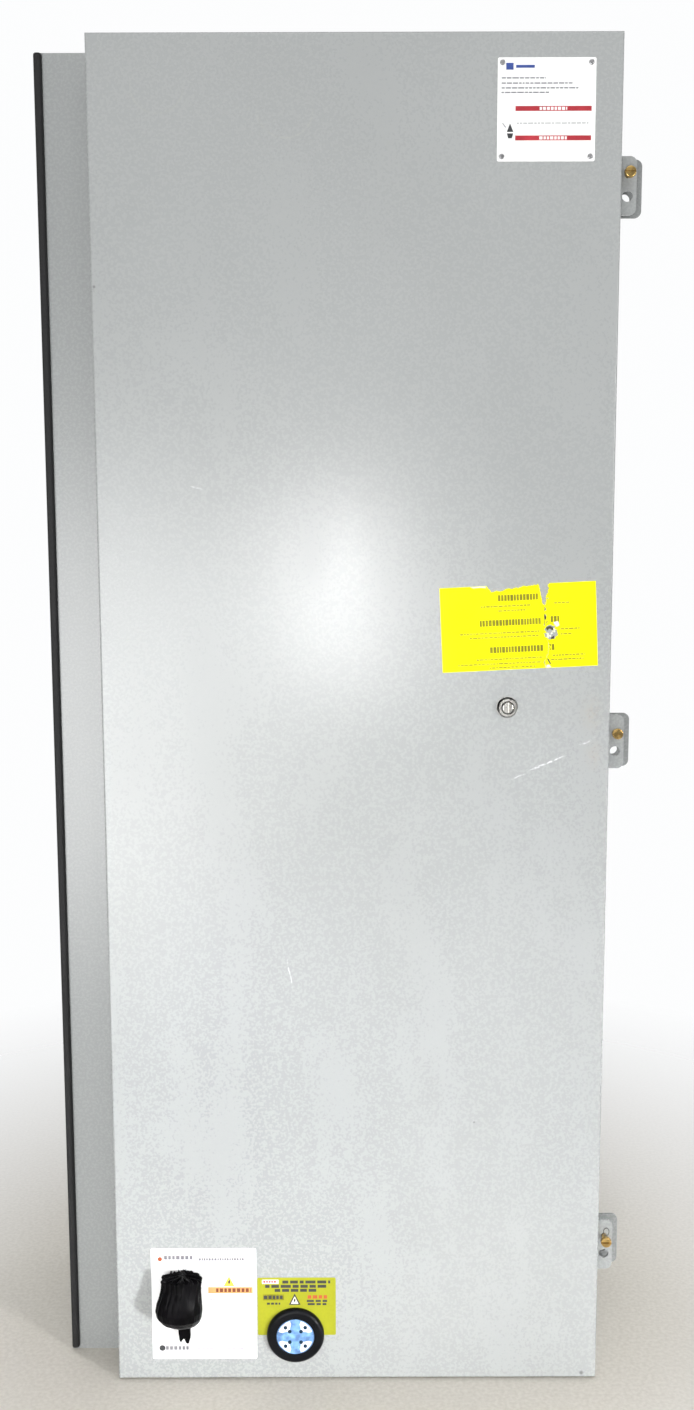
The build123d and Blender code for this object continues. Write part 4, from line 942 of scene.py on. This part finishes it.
def add_wedge(bm, centre, angle, outer):
    """Thin rounded wedge on the lens, narrow towards the middle."""
    outline = []
    for step in range(WEDGE_STEPS + 1):
        turn = angle - WEDGE_SPREAD + 2 * WEDGE_SPREAD * step / WEDGE_STEPS
        outline.append((outer * math.cos(turn), outer * math.sin(turn)))
    for step in range(WEDGE_STEPS + 1):
        side = 1 - 2 * step / WEDGE_STEPS
        turn = angle + WEDGE_SPREAD * side
        reach = WEDGE_REACH + (outer - WEDGE_REACH) * 0.6 * abs(side) ** 1.5
        outline.append((reach * math.cos(turn), reach * math.sin(turn)))
    skin(bm, [[centre + Vector((x, depth, z)) for x, z in outline] for depth in (0, 0.0006)])
    bmesh.ops.recalc_face_normals(bm, faces=bm.faces)


# ---------------------------------------------------------------- latch and screw loop

LATCH_STUD_RADIUS = 0.005
LATCH_COLLAR_RADIUS = 0.008


def latch_details():
    """Black rubber rings round the latch's stud and behind its collar: painted shade for the dark gap round
    the stud and the shadow under the collar.
    """
    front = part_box("latch_bushing")[0].y
    cx, cz = centre_xz("latch_stud")
    bm = bmesh.new()
    add_ring(bm, (cx, front - 0.0001, cz), LATCH_STUD_RADIUS + 0.0004, 0.0005)
    add_ring(bm, (cx, FRONT - 0.0016, cz), LATCH_COLLAR_RADIUS + 0.0005, 0.0006)
    smooth(add_piece("latch_shade_rings", bm, "door", "rubber"))


def add_ring(bm, centre, radius, tube, sides=72, steps=12, stretch=1.0):
    """Ring round the Y axis."""
    grid = []
    for angle in turns(sides):
        row = []
        for turn in turns(steps):
            reach = radius + tube * math.cos(turn)
            x, z = reach * math.cos(angle), reach * math.sin(angle) * stretch
            row.append(bm.verts.new((centre[0] + x, centre[1] + tube * math.sin(turn), centre[2] + z)))
        grid.append(row)
    for row, after in zip(grid, grid[1:] + grid[:1]):
        for step in range(steps):
            k = (step + 1) % steps
            bm.faces.new([row[step], row[k], after[k], after[step]])


LOOP_RADIUS = 0.0027
LOOP_WIRE_RADIUS = 0.00035
LOOP_STRETCH = 1.42


def retaining_loop():
    """Thin wire loop that hangs over the lowest captive screw."""
    low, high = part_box("bottom_captive_screw")
    bm = bmesh.new()
    centre = ((low.x + high.x) / 2 + 0.0005, low.y + 0.0052, high.z + 0.0036)
    add_ring(bm, centre, LOOP_RADIUS, LOOP_WIRE_RADIUS, 48, 10, LOOP_STRETCH)
    smooth(add_piece("screw_loop", bm, "door", "dark_wire"))


# ---------------------------------------------------------------- trim inside the enclosure

class Face:
    """The front of a CAD node, in mm: its edges, its middle and how far back it lies."""

    def __init__(self, node):
        low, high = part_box(node)
        edges = (low.x, high.x, low.z, high.z, low.y)
        self.x0, self.x1, self.z0, self.z1, self.front = (round(edge / MM, 3) for edge in edges)
        self.x, self.z = (self.x0 + self.x1) / 2, (self.z0 + self.z1) / 2

    def corners(self, in_x, in_z):
        """Four points, in_x and in_z in from the corners."""
        return [(x, z) for z in (self.z0 + in_z, self.z1 - in_z) for x in (self.x0 + in_x, self.x1 - in_x)]


def circle(x, z, radius, sides=24):
    return [(x + radius * math.cos(turn), z + radius * math.sin(turn)) for turn in turns(sides)]


def rounded(x0, x1, z0, z1, corner=1.0, steps=4):
    """Outline of a rectangle with round corners."""
    outline = []
    for cx, cz, start in ((x1 - corner, z1 - corner, 0), (x0 + corner, z1 - corner, 90),
                          (x0 + corner, z0 + corner, 180), (x1 - corner, z0 + corner, 270)):
        for step in range(steps + 1):
            turn = math.radians(start + 90 * step / steps)
            outline.append((cx + corner * math.cos(turn), cz + corner * math.sin(turn)))
    return outline


def prism(bm, outline, front, back, bevel=0.0):
    """Solid over a convex outline in mm, from back to front, with its front edge bevelled."""
    cx = sum(x for x, _ in outline) / len(outline)
    cz = sum(z for _, z in outline) / len(outline)
    low_reach = min(max(abs(x - cx) for x, _ in outline), max(abs(z - cz) for _, z in outline))
    shrink = 1 - bevel / low_reach
    rings = []
    for y, scale in ((back, 1.0), (front + bevel, 1.0), (front, shrink)):
        rings.append([Vector((cx + (x - cx) * scale, y, cz + (z - cz) * scale)) * MM for x, z in outline])
    bmesh.ops.recalc_face_normals(bm, faces=skin(bm, rings))


def slotted_screw(bm, x, z, face, radius, height, turn=0.4, slot=0.22):
    """Round head with a real slot, standing on a face that looks towards the door."""
    prism(bm, circle(x, z, radius), face - height * 0.45, face + 0.3)
    half_slot = slot * radius
    for side in (0, math.pi):
        edge = math.acos(half_slot / radius)
        outline = []
        for step in range(13):
            angle = side + turn - edge + 2 * edge * step / 12
            outline.append((x + radius * math.cos(angle), z + radius * math.sin(angle)))
        prism(bm, outline, face - height, face - height * 0.4, height * 0.2)


def frame_bars(bm, box, width, front, back, bevel=0.3):
    """Four bars round an opening given as x0, x1, z0, z1."""
    x0, x1, z0, z1 = box
    for bar in ((x0 - width, x1 + width, z1, z1 + width), (x0 - width, x1 + width, z0 - width, z0),
                (x0 - width, x0, z0 + 0.02, z1 - 0.02), (x1, x1 + width, z0 + 0.02, z1 - 0.02)):
        prism(bm, rounded(*bar, 0.6), front, back, bevel)


def inner_pieces(*pieces):
    for name, bm, slot, material in pieces:
        add_piece(name, bm, "enclosure", material)


def mark(bm, outline, face):
    prism(bm, outline, face - 0.08, face + 0.05)


def print_lines(bm, x0, x1, z, rows, pitch, height, face, seed):
    """Lines of word-long bars on a plate, in place of print."""
    rng = random.Random(seed)
    for row in range(rows):
        base = z - row * pitch
        x = x0
        stop = x1 - rng.uniform(0.0, 0.35) * (x1 - x0)
        while x < stop - height:
            end = min(stop, x + rng.uniform(2.0, 6.0))
            mark(bm, rounded(x, end, base, base + height, 0.05, 1), face)
            x = end + 1.1


SWITCH_HALF = 100
POLE = 45.0


def switch_trim():
    """Cover screws, toggle surround, vent ribs, pole lines and a blank rating plate on each switch."""
    screws, mouldings, plates, lines = bmesh.new(), bmesh.new(), bmesh.new(), bmesh.new()
    covers = Face("switch_covers")
    face, middle = covers.front, covers.x
    for seed, z in enumerate((covers.z0 + SWITCH_HALF, covers.z1 - SWITCH_HALF)):
        for dx, dz in ((-60, -90), (60, -90), (-60, 90), (60, 90), (-22.5, 90), (22.5, 90)):
            slotted_screw(screws, middle + dx, z + dz, face, 3.6, 1.5, 0.3 + dx * 0.01 + dz * 0.007)
        opening = (middle - 12.0, middle + 12.0, z - 22.0, z + 22.0)
        frame_bars(mouldings, opening, 4.0, face - 1.2, face + 0.4)
        for side in (-1, 1):
            for rib in range(5):
                across = z + side * (70 + rib * 3.4)
                for x in (middle - POLE, middle, middle + POLE):
                    outline = rounded(x - 14, x + 14, across - 0.8, across + 0.8, 0.7)
                    prism(mouldings, outline, face - 0.9, face + 0.3, 0.3)
        for x in (middle - POLE / 2, middle + POLE / 2):
            prism(mouldings, rounded(x - 1.2, x + 1.2, z + 32, z + 84, 0.5), face - 1.0, face + 0.3, 0.3)
        left, right = middle + 29.0, middle + 62.0
        prism(plates, rounded(left, right, z + 24, z + 58, 1.5), face - 0.35, face + 0.2, 0.1)
        print_lines(lines, left + 3, right - 3, z + 52, 6, 4.6, 1.5, face - 0.35, 501 + seed)
    inner_pieces(
        ("switch_cover_screws", screws, "plated_steel", "zinc"),
        ("switch_mouldings", mouldings, "phenolic", "toggle"),
        ("switch_rating_plates", plates, "aluminium", "plate_metal"),
        ("switch_plate_lines", lines, "aluminium", "black"))


MOTOR_SCREWS_X = 79.0
MOTOR_SCREWS_REACH = 26


def mechanism_trim():
    """Screws that hold the motor to the bracket and the guides to their rails."""
    screws = bmesh.new()
    bracket, guides = Face("mechanism_bracket"), Face("carriage_guides")
    for turn in (math.radians(45), math.radians(315)):
        x = MOTOR_SCREWS_X + MOTOR_SCREWS_REACH * math.cos(turn)
        z = bracket.z + MOTOR_SCREWS_REACH * math.sin(turn)
        slotted_screw(screws, x, z, bracket.front, 3.4, 1.8, turn)
    for x, z in guides.corners(3.8, 10):
        slotted_screw(screws, x, z, guides.front, 2.6, 1.4, x + z)
    inner_pieces(("mechanism_screws", screws, "plated_steel", "dark_steel"))


def controller_trim():
    """Window bezel, keys, status lights, dial ticks and case screws on the controller."""
    dark, keys, screws, lines, ring = (bmesh.new() for _ in range(5))
    case, window = Face("controller_housing"), Face("controller_display")
    knob, button = Face("selector_knob"), Face("test_button")
    face = case.front
    frame_bars(dark, (window.x0, window.x1, window.z0, window.z1), 3.0, face - 1.2, face + 0.2)
    for key in range(4):
        x = window.x0 + 5 + key * 17.5
        prism(keys, rounded(x - 5.5, x + 5.5, case.z0 + 44, case.z0 + 52, 2.0), face - 1.6, face + 0.2, 0.7)
        mark(lines, rounded(x - 3.5, x + 3.5, case.z0 + 37.5, case.z0 + 39, 0.3), face)
    for x, z in case.corners(7, 7):
        slotted_screw(screws, x, z, face, 2.8, 1.2, 0.02 * (x + z))
    for tick in range(-2, 3):
        turn = math.radians(90 + 45 * tick)
        x, z = knob.x + 18 * math.cos(turn), knob.z + 18 * math.sin(turn)
        mark(lines, circle(x, z, 1.1, 12), face)
    print_lines(lines, window.x0 + 3, window.x1 - 5, case.z0 + 23, 3, 5.0, 1.6, face, 521)
    inner_pieces(
        ("controller_bezel", dark, "black_nylon", "black_nylon"),
        ("controller_keys", keys, "grey_plastic", "toggle"),
        ("controller_screws", screws, "plated_steel", "zinc"),
        ("controller_marks", lines, "grey_plastic", "black"))
    add_ring(ring, (knob.x * MM, (face - 0.2) * MM, button.z * MM), 0.0078, 0.0011)
    smooth(add_piece("button_guard", ring, "enclosure", "black_nylon"))
    for index, colour in enumerate(STATUS_COLOURS):
        lamp = bmesh.new()
        prism(lamp, circle(window.x0 + 7 + index * 14, case.z1 - 14, 2.4), face - 1.8, face + 0.2, 1.0)
        inner_pieces((f"status_{colour}", lamp, "display_glass", colour))


RELAY_PITCH = 34
SOCKET_FRONT = 84.0


def relay_trim():
    """Socket screws, coloured test levers and blank legends on the three relays."""
    screws, levers, legends, lines = (bmesh.new() for _ in range(4))
    relays = Face("control_relays")
    face, base = relays.front, relays.z0
    for index in range(3):
        left = relays.x0 + index * RELAY_PITCH
        for dx in (6.0, 15.0, 24.0):
            for z in (base + 6.0, relays.z1 - 6.5):
                slotted_screw(screws, left + dx, z, SOCKET_FRONT, 2.6, 1.4, dx * 0.1 + z)
        prism(levers, rounded(left + 5, left + 12, base + 50, base + 57, 1.5), face - 1.6, face + 0.2, 0.6)
        prism(legends, rounded(left + 5, left + 25, base + 18, base + 44, 1.0), face - 0.3, face + 0.2, 0.1)
        print_lines(lines, left + 7, left + 23, base + 39, 4, 5.5, 1.6, face - 0.3, 531 + index)
    inner_pieces(
        ("relay_screws", screws, "plated_steel", "zinc"),
        ("relay_levers", levers, "red_plastic", "orange"),
        ("relay_legends", legends, "grey_plastic", "white_nylon"),
        ("relay_lines", lines, "grey_plastic", "black"))


TERMINAL_PITCH = 11.208
BAR_PITCH = 13.0


def power_trim():
    """Coil tape and core bolts on the transformer, and clamping screws on both bars and the terminals."""
    tape, bolts, screws, slots = (bmesh.new() for _ in range(4))
    core, terminals = Face("control_transformer"), Face("terminal_strip")
    face = core.front
    tape_outline = rounded(core.x - 25.7, core.x + 25.7, core.z - 20.7, core.z + 20.7, 4.0)
    prism(tape, tape_outline, face - 0.8, face + 8.4, 1.8)
    for x, z in core.corners(15, 7):
        prism(bolts, circle(x, z, 5.6), face + 7.2, face + 8.2)
        prism(bolts, circle(x, z, 4.4, 6), face + 4.4, face + 7.3, 0.5)
    for bar in (Face("neutral_bar"), Face("ground_bar")):
        for index in range(int((bar.x1 - bar.x0 - 20) // BAR_PITCH)):
            slotted_screw(screws, bar.x0 + 16 + index * BAR_PITCH, bar.z, bar.front, 3.5, 1.8, index * 0.7)
    for index in range(12):
        x = terminals.x0 + 6.4 + index * TERMINAL_PITCH
        slotted_screw(slots, x, terminals.z, terminals.front + 7.1, 3.0, 1.2, index * 0.9)
    inner_pieces(
        ("coil_tape", tape, "core_iron", "coil_tape"),
        ("core_bolts", bolts, "plated_steel", "dark_steel"),
        ("bar_screws", screws, "plated_steel", "dark_steel"),
        ("terminal_slots", slots, "plated_steel", "zinc"))


# ---------------------------------------------------------------- build

MATERIALS = make_materials()
bpy.context.scene.view_settings.view_transform = "Standard"
make_camera()
make_world()
make_lights()
make_floor()
finish_cad_nodes()
print_nameplate()
print_test_label()
print_light_label()
torn_label()
print_torn_label()
rubber_cap()
light_details()
latch_details()
retaining_loop()
switch_trim()
mechanism_trim()
controller_trim()
relay_trim()
power_trim()
